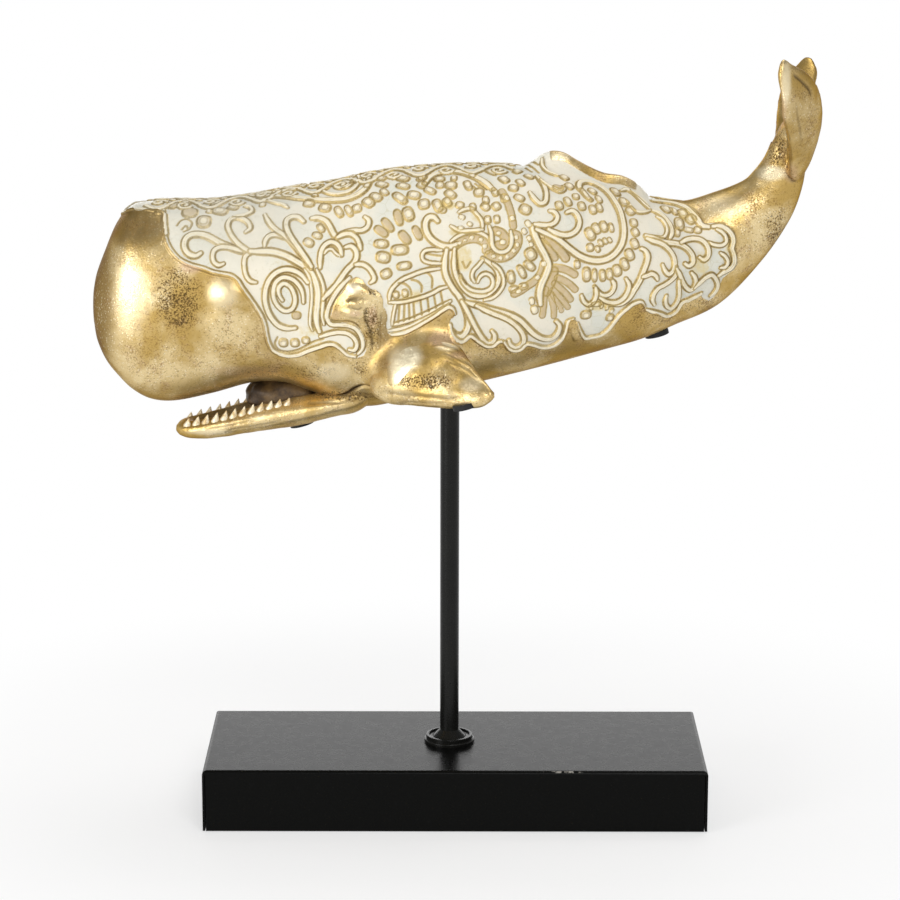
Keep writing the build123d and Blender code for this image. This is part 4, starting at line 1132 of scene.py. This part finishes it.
gold = {
    # two of these colours are painted light: a dark gold for painted shade and a pale gold for painted highlights
    "leaf": (0.50, 0.335, 0.105), "pale": (0.78, 0.62, 0.34), "aged": (0.25, 0.165, 0.065),
    "fleck": (0.96, 0.88, 0.66), "highlightGold": (0.97, 0.87, 0.62), "brown": (0.23, 0.135, 0.038),
    "dark": (0.05, 0.030, 0.013), "rose": (0.62, 0.43, 0.29),
    "rim": (0.30, 0.21, 0.10),        # tint of the grazing reflection
    "rough": 0.34, "metal": 0.85, "grain": 1150.0, "cloud": 34.0, "bumpReach": 0.00026, "bumpShare": 0.7,
}
cream = {
    "ground": (0.745, 0.70, 0.585), "cool": (0.66, 0.655, 0.575), "crown": (0.84, 0.74, 0.52),
    # the shade colour below is a greyer cream for painted shade on the coat
    "shade": (0.50, 0.485, 0.41), "stain": (0.66, 0.54, 0.26), "gilt": (0.46, 0.335, 0.12),
    "umber": (0.17, 0.11, 0.045), "tan": (0.52, 0.385, 0.20), "olive": (0.44, 0.385, 0.18),
    "rough": 0.42, "broad": 26.0, "grain": 420.0, "fine": 1500.0, "crackle": 170.0,
}
mouth = {
    "toothTip": (0.80, 0.70, 0.50), "toothFoot": (0.58, 0.42, 0.20),
    "liningDark": (0.030, 0.016, 0.007), "liningPale": (0.12, 0.070, 0.024),
}


def goldLook(sheet):
    # worn gold leaf: broad clouds, fine speckle, brown where it is worn, painted shade and painted highlights where
    # their spots lie
    where = sheet.where()
    cloud = sheet.noise(gold["cloud"], 5.0, 0.6, where, 0.4)
    fine = sheet.noise(gold["grain"], 3.0, 0.7, where)
    patch = sheet.noise(gold["cloud"] * 3.2, 4.0, 0.65, where, 0.8)
    wornMask, roseMask, paintedShadeMask = sheet.mask("worn"), sheet.mask("rosy"), sheet.mask("aged")
    worn = sheet.ramp(patch * 0.40 + fine * 0.75 + wornMask * 0.13, 0.60, 0.72)
    shade = sheet.blend(sheet.ramp(cloud, 0.38, 0.66), gold["leaf"], gold["pale"])
    shade = sheet.blend(sheet.ramp(patch, 0.54, 0.74) * 0.40 + roseMask * 0.7, shade, gold["rose"])
    # painted shade: a dark gold where the spots of painted shade lie
    shade = sheet.blend(paintedShadeMask * (0.45 + fine * 0.8), shade, gold["aged"])
    shade = sheet.blend(worn * 0.70, shade, gold["brown"])
    pits = sheet.ramp(fine * 0.9 + patch * 0.2 + wornMask * 0.18, 0.70, 0.80) * sheet.ramp(wornMask, 0.15, 0.6)
    shade = sheet.blend(pits * 0.8, shade, gold["dark"])
    flecks = sheet.ramp(sheet.cells(gold["grain"] * 0.6, where), 0.32, 0.10) * sheet.ramp(cloud, 0.42, 0.58)
    shade = sheet.blend(flecks * 0.55, shade, gold["fleck"])
    # painted highlight: a pale gold where the spots of painted highlight lie
    shade = sheet.blend(sheet.mask("rubbed") * (0.55 + fine * 0.7), shade, gold["highlightGold"])
    height = fine * 0.6 + patch * 0.9 + flecks * 0.4 - pits * 0.6
    rough = fine * 0.22 + (gold["rough"] - 0.11) + worn * 0.18
    return shade, rough, height, worn


def makeGold(name):
    # gold leaf alone, darker in hollows
    sheet = Sheet(name)
    shade, rough, height, worn = goldLook(sheet)
    pitMask = sheet.mask("pit")
    shade = sheet.blend(pitMask, shade, gold["dark"])
    metal = (1 - worn * 0.5) * gold["metal"] * (1 - pitMask * 0.8)
    return sheet.finish(Base_Color=shade, Roughness=rough, Metallic=metal, Specular_Tint=gold["rim"],
                        Normal=sheet.bump(height, gold["bumpReach"], gold["bumpShare"]))


def makeSkin(name):
    # gold leaf and the cream coat with its relief, by the masks on the mesh
    sheet = Sheet(name)
    where = sheet.where()
    goldShade, goldRough, goldHeight, worn = goldLook(sheet)
    coatMask, washMask = sheet.mask("coat"), sheet.mask("wash")
    crownMask, tanMask, pitMask = sheet.mask("crest"), sheet.mask("tan"), sheet.mask("pit")
    goldShade = sheet.blend(pitMask, goldShade, gold["dark"])
    broad = sheet.noise(cream["broad"], 4.0, 0.6, where, 0.5)
    grain = sheet.noise(cream["grain"], 4.0, 0.7, where)
    fine = sheet.noise(cream["fine"], 2.0, 0.7, where)
    crackle = 1 - sheet.ramp(sheet.cells(cream["crackle"], where, "DISTANCE_TO_EDGE"), 0.0, 0.035)
    shade = sheet.blend(sheet.ramp(broad, 0.40, 0.62), cream["ground"], cream["cool"])
    shade = sheet.blend(sheet.ramp(grain, 0.58, 0.74) * 0.34, shade, cream["olive"])
    shade = sheet.blend(crackle * sheet.ramp(broad, 0.50, 0.60) * 0.3, shade, cream["olive"])
    shade = sheet.blend(tanMask * (0.5 + grain * 0.6), shade, cream["tan"])
    stains = sheet.ramp(sheet.mask("stained") + (broad - 0.5) * 1.2 + (grain - 0.5) * 0.9, 0.38, 0.80)
    shade = sheet.blend(stains * 0.85, shade, cream["stain"])
    shade = sheet.blend(crownMask * 0.75, shade, cream["crown"])
    giltShare = sheet.ramp(washMask + (grain - 0.5) * 0.6, 0.16, 0.52)
    shade = sheet.blend(giltShare * 0.9, shade, cream["gilt"])
    umberShare = sheet.ramp(washMask * 0.8 + (fine - 0.5) * 0.9 + (broad - 0.5) * 0.5, 0.62, 0.84)
    shade = sheet.blend(umberShare * 0.7, shade, cream["umber"])
    # painted shade on the coat: a greyer cream where the spots of painted shade lie
    shade = sheet.blend(sheet.mask("aged") * (0.3 + grain * 0.6), shade, cream["shade"])
    edge = sheet.ramp(coatMask + (grain - 0.5) * 0.4, 0.35, 0.6)
    shade = sheet.blend(edge, goldShade, shade)
    rough = goldRough * (1 - edge) + (grain * 0.15 + (cream["rough"] - 0.08)) * edge
    metal = (1 - edge) * gold["metal"] * (1 - worn * 0.5) + edge * giltShare * 0.5
    height = (1 - edge) * goldHeight + edge * (grain * 0.45 + fine * 0.2 - crackle * 0.2)
    return sheet.finish(Base_Color=shade, Roughness=rough, Metallic=metal, Specular_Tint=gold["rim"],
                        Normal=sheet.bump(height, gold["bumpReach"], gold["bumpShare"]))


def makeTeeth(name):
    # patches of pale worn gilt and deeper gilt, with brown flecks
    sheet = Sheet(name)
    where = sheet.where()
    fine = sheet.noise(gold["grain"], 3.0, 0.7, where)
    patch = sheet.noise(240.0, 4.0, 0.65, where)
    shade = sheet.blend(sheet.ramp(patch, 0.44, 0.62), mouth["toothTip"], mouth["toothFoot"])
    shade = sheet.blend(sheet.ramp(fine, 0.56, 0.70) * 0.5, shade, gold["brown"])
    return sheet.finish(Base_Color=shade, Roughness=fine * 0.2 + 0.28, Metallic=0.35,
                        Normal=sheet.bump(fine, 0.00015, 0.6))


def makeLining(name):
    # dark brown back of the mouth
    sheet = Sheet(name)
    where = sheet.where()
    patch = sheet.noise(90.0, 5.0, 0.65, where)
    fine = sheet.noise(gold["grain"], 3.0, 0.7, where)
    shade = sheet.blend(sheet.ramp(patch, 0.40, 0.64), mouth["liningDark"], mouth["liningPale"])
    return sheet.finish(Base_Color=shade, Roughness=fine * 0.2 + 0.42, Metallic=0.25,
                        Normal=sheet.bump(patch + fine * 0.4, 0.0006, 0.7))


print("materials")
goldLeaf = makeGold("goldLeaf")
coatedSkin = makeSkin("coatedSkin")
for piece in skinPieces:
    piece.data.materials.append(coatedSkin)


print("flippers")
skinLeft = gridTree(skin, 2)
flipperUp = roundNormals(flipperForm)
flipperShape, flipperDeep = pressCreases(flipperForm, flipperUp, flipperTree, flipper["creases"])
for i, j in np.ndindex(flipperShape.shape[:2]):
    spot = flipperShape[i, j]
    away = skinLeft.find_nearest(Vector(spot))[3]
    swell = flipper["swell"] * math.exp(-((away / flipper["swellReach"]) ** 2))
    flipperShape[i, j] = spot + flipperUp[i, j] * (swell + ripple(spot, flipper["waves"]) * min(1, i / 10))
flipperUp = roundNormals(flipperShape)
flipperMasks = wearAndPaintedLightAt(flipperShape)
flipperMasks["pit"] = np.clip(flipperDeep * 0.9, 0, 0.8)
for sideName, side in (("left", 1), ("right", -1)):
    turn = np.array([1, side, 1])
    form = sheetMesh(f"flipper_{sideName}_skin", flipperShape * turn, flipperUp * turn, flipperMasks, closed=True)
    piece = place(form)
    piece.data.materials.append(goldLeaf)
    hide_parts(f"flipper_{sideName}")


# lower jaw: place along, level, half height, half width
jaw = {
    "sections": [
        (0.1100, -0.094, 0.012, 0.040), (0.1180, -0.092, 0.034, 0.090), (0.1345, -0.089, 0.048, 0.130),
        (0.1680, -0.073, 0.059, 0.165), (0.2020, -0.049, 0.064, 0.190), (0.2380, -0.024, 0.073, 0.215),
        (0.2800, 0.003, 0.078, 0.250), (0.3300, 0.040, 0.073, 0.290), (0.3650, 0.075, 0.083, 0.300),
        (0.4000, 0.132, 0.058, 0.240),
    ],
    "troughTop": 0.95, "troughWide": 0.62, "troughDeep": 0.20, "troughFrom": 0.128,
    "teeth": 12, "toothFirst": 0.128, "toothLast": 0.268, "toothOut": 0.80,
    "toothHalf": 2.05, "toothThick": 1.35, "toothTall": 3.5, "toothLean": 0.35,
    "creases": [
        (1.3, 0.55, [(178, 431), (190, 424.5), (203, 421), (222, 416.5), (240, 412.5), (262, 408), (280, 404.5),
            (300, 400)]),
        (1.2, 0.25, [(180, 426.5), (192, 426.5), (205, 424.5), (225, 420.5), (245, 417)]),
        (1.6, 0.30, [(205, 430), (222, 428), (240, 424), (262, 420)]),
        (1.6, 0.25, [(222, 433), (240, 429), (262, 425.5), (285, 421)]),
        (1.8, 0.50, [(300, 404), (320, 403.5), (345, 402), (365, 398)]),
    ],
    "waves": ((7, 0.22), (2.5, 0.08)),         # reach and height in mm
    # back of the open mouth: middle, half sizes, in mm
    "lining": ((-84.0, 0.0, 211.0), (20.0, 12.5, 11.0)),
}


def jawAt(along):
    # the jaw's row of measures at a place along
    firsts = [row[0] for row in jaw["sections"]]
    return rowsAt(jaw["sections"], np.interp(along, firsts, np.arange(len(firsts))))


def jawGrid(lengthSteps, roundSteps):
    where = np.linspace(0, 1, lengthSteps) ** 1.25 * (len(jaw["sections"]) - 1)
    turns = np.linspace(0, 2 * math.pi, roundSteps, endpoint=False)
    rings, inside = [], []
    for along, level, tall, wide in rowsAt(jaw["sections"], where):
        side, rise = np.cos(turns) * wide, np.sin(turns) * tall
        # the trough scoops the top out
        share = np.clip(1 - (side / (jaw["troughWide"] * wide)) ** 2, 0, 1) ** 0.5
        floor = tall * (jaw["troughDeep"] + jaw["troughTop"] * (1 - share))
        deep = smoothStep(jaw["troughFrom"] - 0.008, jaw["troughFrom"] + 0.02, along)
        scooped = np.where((rise > 0) & (share > 0), np.minimum(rise, floor), rise)
        rise = rise + (scooped - rise) * deep
        rings.append(np.stack([np.full(roundSteps, whale["noseX"] + along * whale["long"]),
                               side * whale["wide"], whale["bellyRef"] + (level + rise) * whale["tall"]], -1))
        inside.append((scooped < np.sin(turns) * tall - 0.002) * deep)
    return np.array(rings), np.array(inside)


def joinRings(bm, rings):
    # faces between rings of points
    for low, high in zip(rings[:-1], rings[1:]):
        for k in range(len(low)):
            after = (k + 1) % len(low)
            bm.faces.new((low[k], low[after], high[after], high[k]))


def closeMesh(name, bm):
    data = bpy.data.meshes.new(name)
    bm.to_mesh(data)
    bm.free()
    return data


def makeTooth(bm, spot, along, outward, grow):
    # a saw tooth: an oval foot that draws in to a blunt tip leaning back
    rings = []
    for rise, share in ((-0.35, 1.04), (0.0, 1.0), (0.30, 0.74), (0.62, 0.44), (0.88, 0.20), (1.0, 0.05)):
        lean = jaw["toothLean"] * max(rise, 0) * jaw["toothTall"] * grow
        ring = []
        for k in range(12):
            turn = 2 * math.pi * k / 12
            at = (spot + along * (math.cos(turn) * jaw["toothHalf"] * share + lean)
                  + outward * math.sin(turn) * jaw["toothThick"] * share
                  + np.array([0, 0, rise * jaw["toothTall"] * grow]))
            ring.append(bm.verts.new(at * mm))
        rings.append(ring)
    joinRings(bm, rings)
    bm.faces.new(rings[-1])


print("jaw")
jawForm, jawInside = jawGrid(190, 96)
jawUp = roundNormals(jawForm)
jawShape, jawDeep = pressCreases(jawForm, jawUp, roundTree(jawForm), jaw["creases"])
for i, j in np.ndindex(jawShape.shape[:2]):
    spot = jawShape[i, j]
    jawShape[i, j] = spot + jawUp[i, j] * ripple(spot, jaw["waves"]) * min(1, i / 12)
jawUp = roundNormals(jawShape)
jawMasks = wearAndPaintedLightAt(jawShape)
jawMasks["pit"] = np.clip(np.maximum(jawDeep * 0.9, jawInside * 0.75), 0, 0.85)
jawPiece = place(sheetMesh("lower_jaw_skin", jawShape, jawUp, jawMasks, closed=True))
jawPiece.data.materials.append(goldLeaf)
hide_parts("lower_jaw")

bm = bmesh.new()
for step in range(jaw["teeth"]):
    share = step / (jaw["teeth"] - 1)
    course = jaw["toothFirst"] + (jaw["toothLast"] - jaw["toothFirst"]) * share
    along, level, tall, wide = jawAt(course)
    onward = jawAt(course + 0.004)
    rimShare = (1 - jaw["toothOut"] ** 2) ** 0.5
    for side in (-1, 1):
        spot = spotAt(along, side * jaw["toothOut"] * wide, level + tall * rimShare)
        way = spotAt(onward[0], side * jaw["toothOut"] * onward[3], onward[1] + onward[2] * rimShare) - spot
        way /= np.linalg.norm(way)
        outward = np.array([-way[1], way[0], 0])
        makeTooth(bm, spot, way, outward, 0.72 + 0.28 * math.sin(math.pi * (0.15 + 0.8 * share)))
data = closeMesh("teeth", bm)
data.shade_smooth()
teeth = place(bpy.data.objects.new("teeth", data))
teeth.data.materials.append(makeTeeth("paleTeeth"))

bm = bmesh.new()
bmesh.ops.create_icosphere(bm, subdivisions=5, radius=1)
middle, half = jaw["lining"]
for vert in bm.verts:
    wave = 1 + 0.10 * noise.noise(vert.co * 2.2)
    vert.co = Vector([(middle[k] + vert.co[k] * half[k] * wave) * mm for k in range(3)])
data = closeMesh("mouth_lining", bm)
data.shade_smooth()
lining = place(bpy.data.objects.new("mouth_lining", data))
lining.data.materials.append(makeLining("mouthBrown"))


# tail: lobes and hub from the stock's end: back, out, up, half chord, half thickness
tail = {
    "tall": 62.0, "span": 84.0, "chord": 27.0, "thick": 9.0, "turn": 50.0,
    "left": [
        (0.030, -0.050, -0.250, 0.14, 0.30), (0.075, -0.130, -0.040, 0.34, 0.44), (0.080, -0.255, 0.240, 0.48, 0.50),
        (0.008, -0.369, 0.465, 0.51, 0.47), (-0.092, -0.446, 0.650, 0.26, 0.34), (-0.128, -0.476, 0.748, 0.11, 0.20),
    ],
    "right": [
        (0.000, 0.050, -0.230, 0.14, 0.30), (0.020, 0.150, 0.030, 0.28, 0.40), (0.062, 0.285, 0.245, 0.33, 0.44),
        (0.113, 0.381, 0.408, 0.38, 0.44), (0.178, 0.452, 0.545, 0.30, 0.38), (0.206, 0.482, 0.635, 0.13, 0.22),
    ],
    # back, up, half width, half depth, lean
    "hub": [(-0.030, -0.110, 0.066, 0.27, 66), (0.012, 0.030, 0.130, 0.315, 69),
            (0.030, 0.120, 0.180, 0.27, 74), (0.050, 0.215, 0.190, 0.19, 78)],
    "voxel": 0.85, "quickVoxel": 1.4, "smooth": 14,
    "tip": ((0.8, 0.7), (0.5, 1.4), (0.2, 1.8)),       # rounding of a lobe's tip: share, push
    "waves": ((9, 0.4), (3.2, 0.10)),
    "creases": [
        (1.6, 0.8, [(790, 72), (796, 76), (803, 82), (808, 88), (811, 97)]),
        (1.5, 0.5, [(783, 128), (786, 140), (788, 152), (789, 165)]),
        (1.4, 0.7, [(780, 165), (784, 172), (790, 179), (798, 183)]),
        (1.2, 0.35, [(795, 100), (797, 115), (800, 130), (800, 145)]),
    ],
}


def roundSolid(bm, rings):
    # closed tube through rings of points
    made = [[bm.verts.new(Vector(p)) for p in ring] for ring in rings]
    joinRings(bm, made)
    bm.faces.new(made[0][::-1])
    bm.faces.new(made[-1])


def lobeRings(rows, side, end, turns):
    # one lobe's cross-sections, square to its course, and its rounded tip
    fine = rowsAt(rows, np.linspace(0, len(rows) - 1, 40))
    spots = np.stack([end[0] + fine[:, 0] * tail["tall"], fine[:, 1] * tail["span"],
                      end[2] + fine[:, 2] * tail["tall"]], -1)
    courses = np.gradient(spots, axis=0)
    turn = math.radians(tail["turn"])
    rings = []
    for spot, course, row in zip(spots, courses, fine):
        course = course / np.linalg.norm(course)
        chord = np.array([-math.cos(turn), side * math.sin(turn), 0])
        chord = chord - course * (chord @ course)
        chord /= np.linalg.norm(chord)
        flat = np.cross(course, chord)
        a = np.cos(turns)[:, None] * row[3] * tail["chord"]
        b = np.sin(turns)[:, None] * row[4] * tail["thick"]
        rings.append(spot + chord * a + flat * b)
    last = rings[-1]
    middle = last.mean(0)
    tip = courses[-1] / np.linalg.norm(courses[-1])
    return rings + [middle + (last - middle) * share + tip * push for share, push in tail["tip"]]


def tailSolid():
    # the lobes, the hub and the end of the stock, melted into one form
    endRow = sectionTable[-1]
    end = spotAt(endRow[0], 0, endRow[1])
    turns = np.linspace(0, 2 * math.pi, 48, endpoint=False)
    bm = bmesh.new()
    for name, side in (("left", -1), ("right", 1)):
        roundSolid(bm, lobeRings(tail[name], side, end, turns))
    rings = []
    for back, up, wide, deep, lean in rowsAt(tail["hub"], np.linspace(0, len(tail["hub"]) - 1, 16)):
        tilt = math.radians(lean)
        spot = end + np.array([back * tail["tall"], 0, up * tail["tall"]])
        across, rise = np.array([0, 1, 0]), np.array([-math.sin(tilt), 0, math.cos(tilt)])
        rings.append(spot + across * np.cos(turns)[:, None] * wide * tail["span"]
                     + rise * np.sin(turns)[:, None] * deep * tail["chord"])
    roundSolid(bm, rings)
    lastRow = len(sectionTable) - 1
    rings = []
    for row in rowsAt(sectionTable, np.linspace(lastRow - 2.6, lastRow, 14)):
        half = halfRing(row, np.linspace(math.pi / 2, -math.pi / 2, 25))
        other = half[1:-1][::-1] * np.array([1, -1, 1])
        ring = np.concatenate([half, other])
        middle = ring.mean(0)
        rings.append(middle + (ring - middle) * 0.985)
    roundSolid(bm, rings)
    bmesh.ops.recalc_face_normals(bm, faces=bm.faces)
    form = bpy.data.objects.new("tail_form", closeMesh("tail_form", bm))
    bpy.context.scene.collection.objects.link(form)
    melt = form.modifiers.new("melt", "REMESH")
    melt.mode = "VOXEL"
    melt.voxel_size = tail["voxel"]
    ease = form.modifiers.new("ease", "SMOOTH")
    ease.factor, ease.iterations = 0.5, tail["smooth"]
    shape = bpy.data.meshes.new_from_object(form.evaluated_get(bpy.context.evaluated_depsgraph_get()))
    bpy.data.objects.remove(form)
    return shape


print("tail")
tailMesh = tailSolid()
tailMesh.name = "tail_flukes_skin"
spots = np.empty(len(tailMesh.vertices) * 3)
tailMesh.vertices.foreach_get("co", spots)
spots = spots.reshape(-1, 3)
ups = np.array([v.normal for v in tailMesh.vertices])
tailTree = BVHTree.FromPolygons([Vector(p) for p in spots], [tuple(f.vertices) for f in tailMesh.polygons])
shaped, tailDeep = pressCreases(spots, ups, tailTree, tail["creases"])
wave = np.array([ripple(p, tail["waves"]) for p in spots])
shaped = shaped + ups * wave[:, None]
tailMesh.vertices.foreach_set("co", (shaped * mm).ravel())
tailMasks = wearAndPaintedLightAt(shaped)
tailMasks["pit"] = np.clip(tailDeep * 0.9, 0, 0.8)
for mask, values in tailMasks.items():
    tailMesh.attributes.new(mask, "FLOAT", "POINT").data.foreach_set("value", values.astype(np.float32))
tailMesh.materials.clear()
tailMesh.materials.append(goldLeaf)
tailMesh.shade_smooth()
tailPiece = place(bpy.data.objects.new("tail_flukes_skin", tailMesh))
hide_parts("tail_flukes")


# stand, pads and what is hidden: the construction solids with their finishes
finishes = {
    "coated_sheet": {
        "shade": (0.0022, 0.0023, 0.0020), "rough": 0.28, "ior": 1.16, "grain": 1500.0,
        "dust": (0.012, 0.012, 0.013), "chip": (0.42, 0.40, 0.36),
        # where the chips lie, in metres: from clear to chipped
        "chipUp": (0.0306, 0.0314), "chipFront": (-0.0482, -0.0493),
        "chipFirst": (0.040, 0.048), "chipLast": (0.064, 0.058),
    },
    "black_steel": {"shade": (0.006, 0.006, 0.0052), "rough": 0.26, "ior": 1.28, "grain": 1600.0},
    "pad_rubber": {"shade": (0.012, 0.012, 0.012), "rough": 0.62, "ior": 1.35, "grain": 1300.0},
    "zinc_steel": {"shade": (0.55, 0.56, 0.58), "rough": 0.34, "ior": 1.5, "grain": 500.0},
    "fibreboard": {"shade": (0.36, 0.25, 0.15), "rough": 0.85, "ior": 1.45, "grain": 420.0},
    "felt": {"shade": (0.014, 0.014, 0.016), "rough": 0.95, "ior": 1.3, "grain": 900.0},
}


def makeCover():
    # satin powder coat: fine orange peel, faint dust, a few chips on the front top edge
    look = finishes["coated_sheet"]
    sheet = Sheet("powderCoat")
    where = sheet.where()
    peel = sheet.noise(look["grain"], 2.0, 0.5, where)
    dust = sheet.noise(210.0, 5.0, 0.7, where)
    x, y, z = sheet.axes(where)
    nearEdge = sheet.ramp(z, *look["chipUp"]) * sheet.ramp(y, *look["chipFront"])
    nearChips = sheet.ramp(x, *look["chipFirst"]) * sheet.ramp(x, *look["chipLast"])
    chips = nearEdge * nearChips * sheet.ramp(sheet.noise(520.0, 3.0, 0.6, where), 0.52, 0.60)
    shade = sheet.blend(sheet.ramp(dust, 0.58, 0.80) * 0.25, look["shade"], look["dust"])
    shade = sheet.blend(chips, shade, look["chip"])
    rough = dust * 0.14 + (look["rough"] - 0.07) + chips * 0.3
    return sheet.finish(Base_Color=shade, Roughness=rough, IOR=look["ior"],
                        Normal=sheet.bump(peel - chips * 3.0, 0.00004, 0.5))


def makePlain(slot):
    # one colour with a faint cloud and a fine grain
    look = finishes[slot]
    sheet = Sheet(slot + "Finish")
    where = sheet.where()
    cloud = sheet.noise(60.0, 4.0, 0.6, where)
    grain = sheet.noise(look["grain"], 3.0, 0.65, where)
    low = tuple(c * 0.72 for c in look["shade"])
    high = tuple(min(1.0, c * 1.3) for c in look["shade"])
    shade = sheet.blend(sheet.ramp(cloud * 0.5 + grain * 0.5, 0.36, 0.64), low, high)
    reach = {"felt": 0.0006, "fibreboard": 0.0004}.get(slot, 0.00006)
    rough = grain * 0.16 + (look["rough"] - 0.08)
    metal = 0.9 if slot == "zinc_steel" else 0.0
    return sheet.finish(Base_Color=shade, Roughness=rough, Metallic=metal, IOR=look["ior"],
                        Normal=sheet.bump(grain, reach, 0.6))


print("stand")
slotMaterials = {"coated_sheet": makeCover(), "coated_resin": goldLeaf, "gilded_resin": goldLeaf}
for slot in finishes:
    if slot not in slotMaterials:
        slotMaterials[slot] = makePlain(slot)
for node, obj in frame["nodes"].items():
    obj.data.materials.clear()
    obj.data.materials.append(slotMaterials[slots[node]])


# stage and light, in metres and watts
stageLook = {
    # reach and height of the floor's rings
    "floorRings": (
        (1.5, 0), (5, 0), (9, 0), (10, 0.05), (10.9, 0.28), (11.5, 0.72), (11.9, 1.4), (12, 2.3), (12, 3.6)),
    "floorPoints": 96, "floorShade": (0.97, 0.97, 0.97), "world": (1.0, 1.0, 1.0), "worldPower": 0.33,
    "shadowNear": 0.15, "shadowFar": 0.40, "shadowShare": 0.45,        # the floor's shading fades between these
    "farNear": 5.0, "farFull": 9.0,            # from here on it meets diffuse rays as the world would
    # place, aim, width, height, power
    "lamps": {
        "sideSoftbox": ((-1.36, -1.16, 0.46), (-0.05, 0, 0.26), 0.9, 1.1, 18.0),
        "frontSoftbox": ((0.45, -1.70, 1.45), (0.0, 0, 0.24), 0.9, 0.9, 17.0),
        "topSoftbox": ((0.25, 0.35, 1.75), (0, 0, 0.22), 0.9, 0.9, 8.0),
        "rearPanel": ((0.0, 2.3, 0.62), (0, 0, 0.1), 2.6, 0.8, 11.5),
    },
}


def aimAt(obj, target):
    # turns an object's own -Z to a point
    obj.rotation_mode = "QUATERNION"
    obj.rotation_quaternion = (Vector(target) - obj.location).to_track_quat("-Z", "Y")


def makeStage():
    # a round floor that curves up into a backdrop far off
    bm = bmesh.new()
    count = stageLook["floorPoints"]
    turns = [2 * math.pi * k / count for k in range(count)]
    rings = [[bm.verts.new((reach * math.cos(turn), reach * math.sin(turn), tall)) for turn in turns]
             for reach, tall in stageLook["floorRings"]]
    bm.faces.new(rings[0])
    for low, high in zip(rings[:-1], rings[1:]):
        for k in range(count):
            after = (k + 1) % count
            bm.faces.new((low[k], high[k], high[after], low[after])).smooth = True
    data = closeMesh("floor", bm)
    floor = bpy.data.objects.new("floor", data)
    bpy.context.scene.collection.objects.link(floor)
    sheet = Sheet("floorPaper")
    paper = sheet.node("BsdfPrincipled", {}, {"Base Color": stageLook["floorShade"], "Roughness": 0.8})
    white = sheet.node("Emission", {}, {"Color": (1.0, 1.0, 1.0), "Strength": 1.0})
    camera, glossy, through, diffuse = (
        sheet.node("LightPath", out=f"Is {kind} Ray") for kind in ("Camera", "Glossy", "Transmission", "Diffuse"))
    seen = camera + glossy + through
    reach = sheet.node("VectorMath", {"operation": "LENGTH"}, {0: sheet.where()}, "Value")
    away = sheet.ramp(reach, stageLook["shadowNear"], stageLook["shadowFar"])
    away = away * stageLook["shadowShare"] + (1 - stageLook["shadowShare"])
    far = sheet.ramp(reach, stageLook["farNear"], stageLook["farFull"]) * diffuse * stageLook["worldPower"]
    surface = sheet.node("MixShader", {}, {0: away * seen + far, 1: paper, 2: white})
    sheet.node("OutputMaterial", {}, {"Surface": surface})
    data.materials.append(sheet.material)
    world = bpy.data.worlds.new("studio")
    bpy.context.scene.world = world
    world.use_nodes = True
    back = world.node_tree.nodes["Background"]
    back.inputs["Color"].default_value = (*stageLook["world"], 1)
    back.inputs["Strength"].default_value = stageLook["worldPower"]
    for name, (spot, aim, wide, tall, power) in stageLook["lamps"].items():
        lamp = bpy.data.lights.new(name, "AREA")
        lamp.shape = "RECTANGLE"
        lamp.size, lamp.size_y, lamp.energy = wide, tall, power
        obj = bpy.data.objects.new(name, lamp)
        bpy.context.scene.collection.objects.link(obj)
        obj.location = spot
        aimAt(obj, aim)


def makeCamera():
    data = bpy.data.cameras.new("photoCamera")
    data.sensor_width = shot["sensor"]
    data.lens = shot["lensPixels"] / shot["frame"] * shot["sensor"]
    data.clip_start, data.clip_end = 0.05, 20
    camera = bpy.data.objects.new("photoCamera", data)
    bpy.context.scene.collection.objects.link(camera)
    camera.location = shotPlace * mm
    camera.rotation_mode = "XYZ"
    camera.rotation_euler = (math.radians(90) - shotPitch, 0, 0)
    camera.rotation_euler.rotate_axis("Z", -shotRoll)
    bpy.context.scene.camera = camera
    bpy.context.scene.view_settings.view_transform = "Standard"


makeStage()
makeCamera()
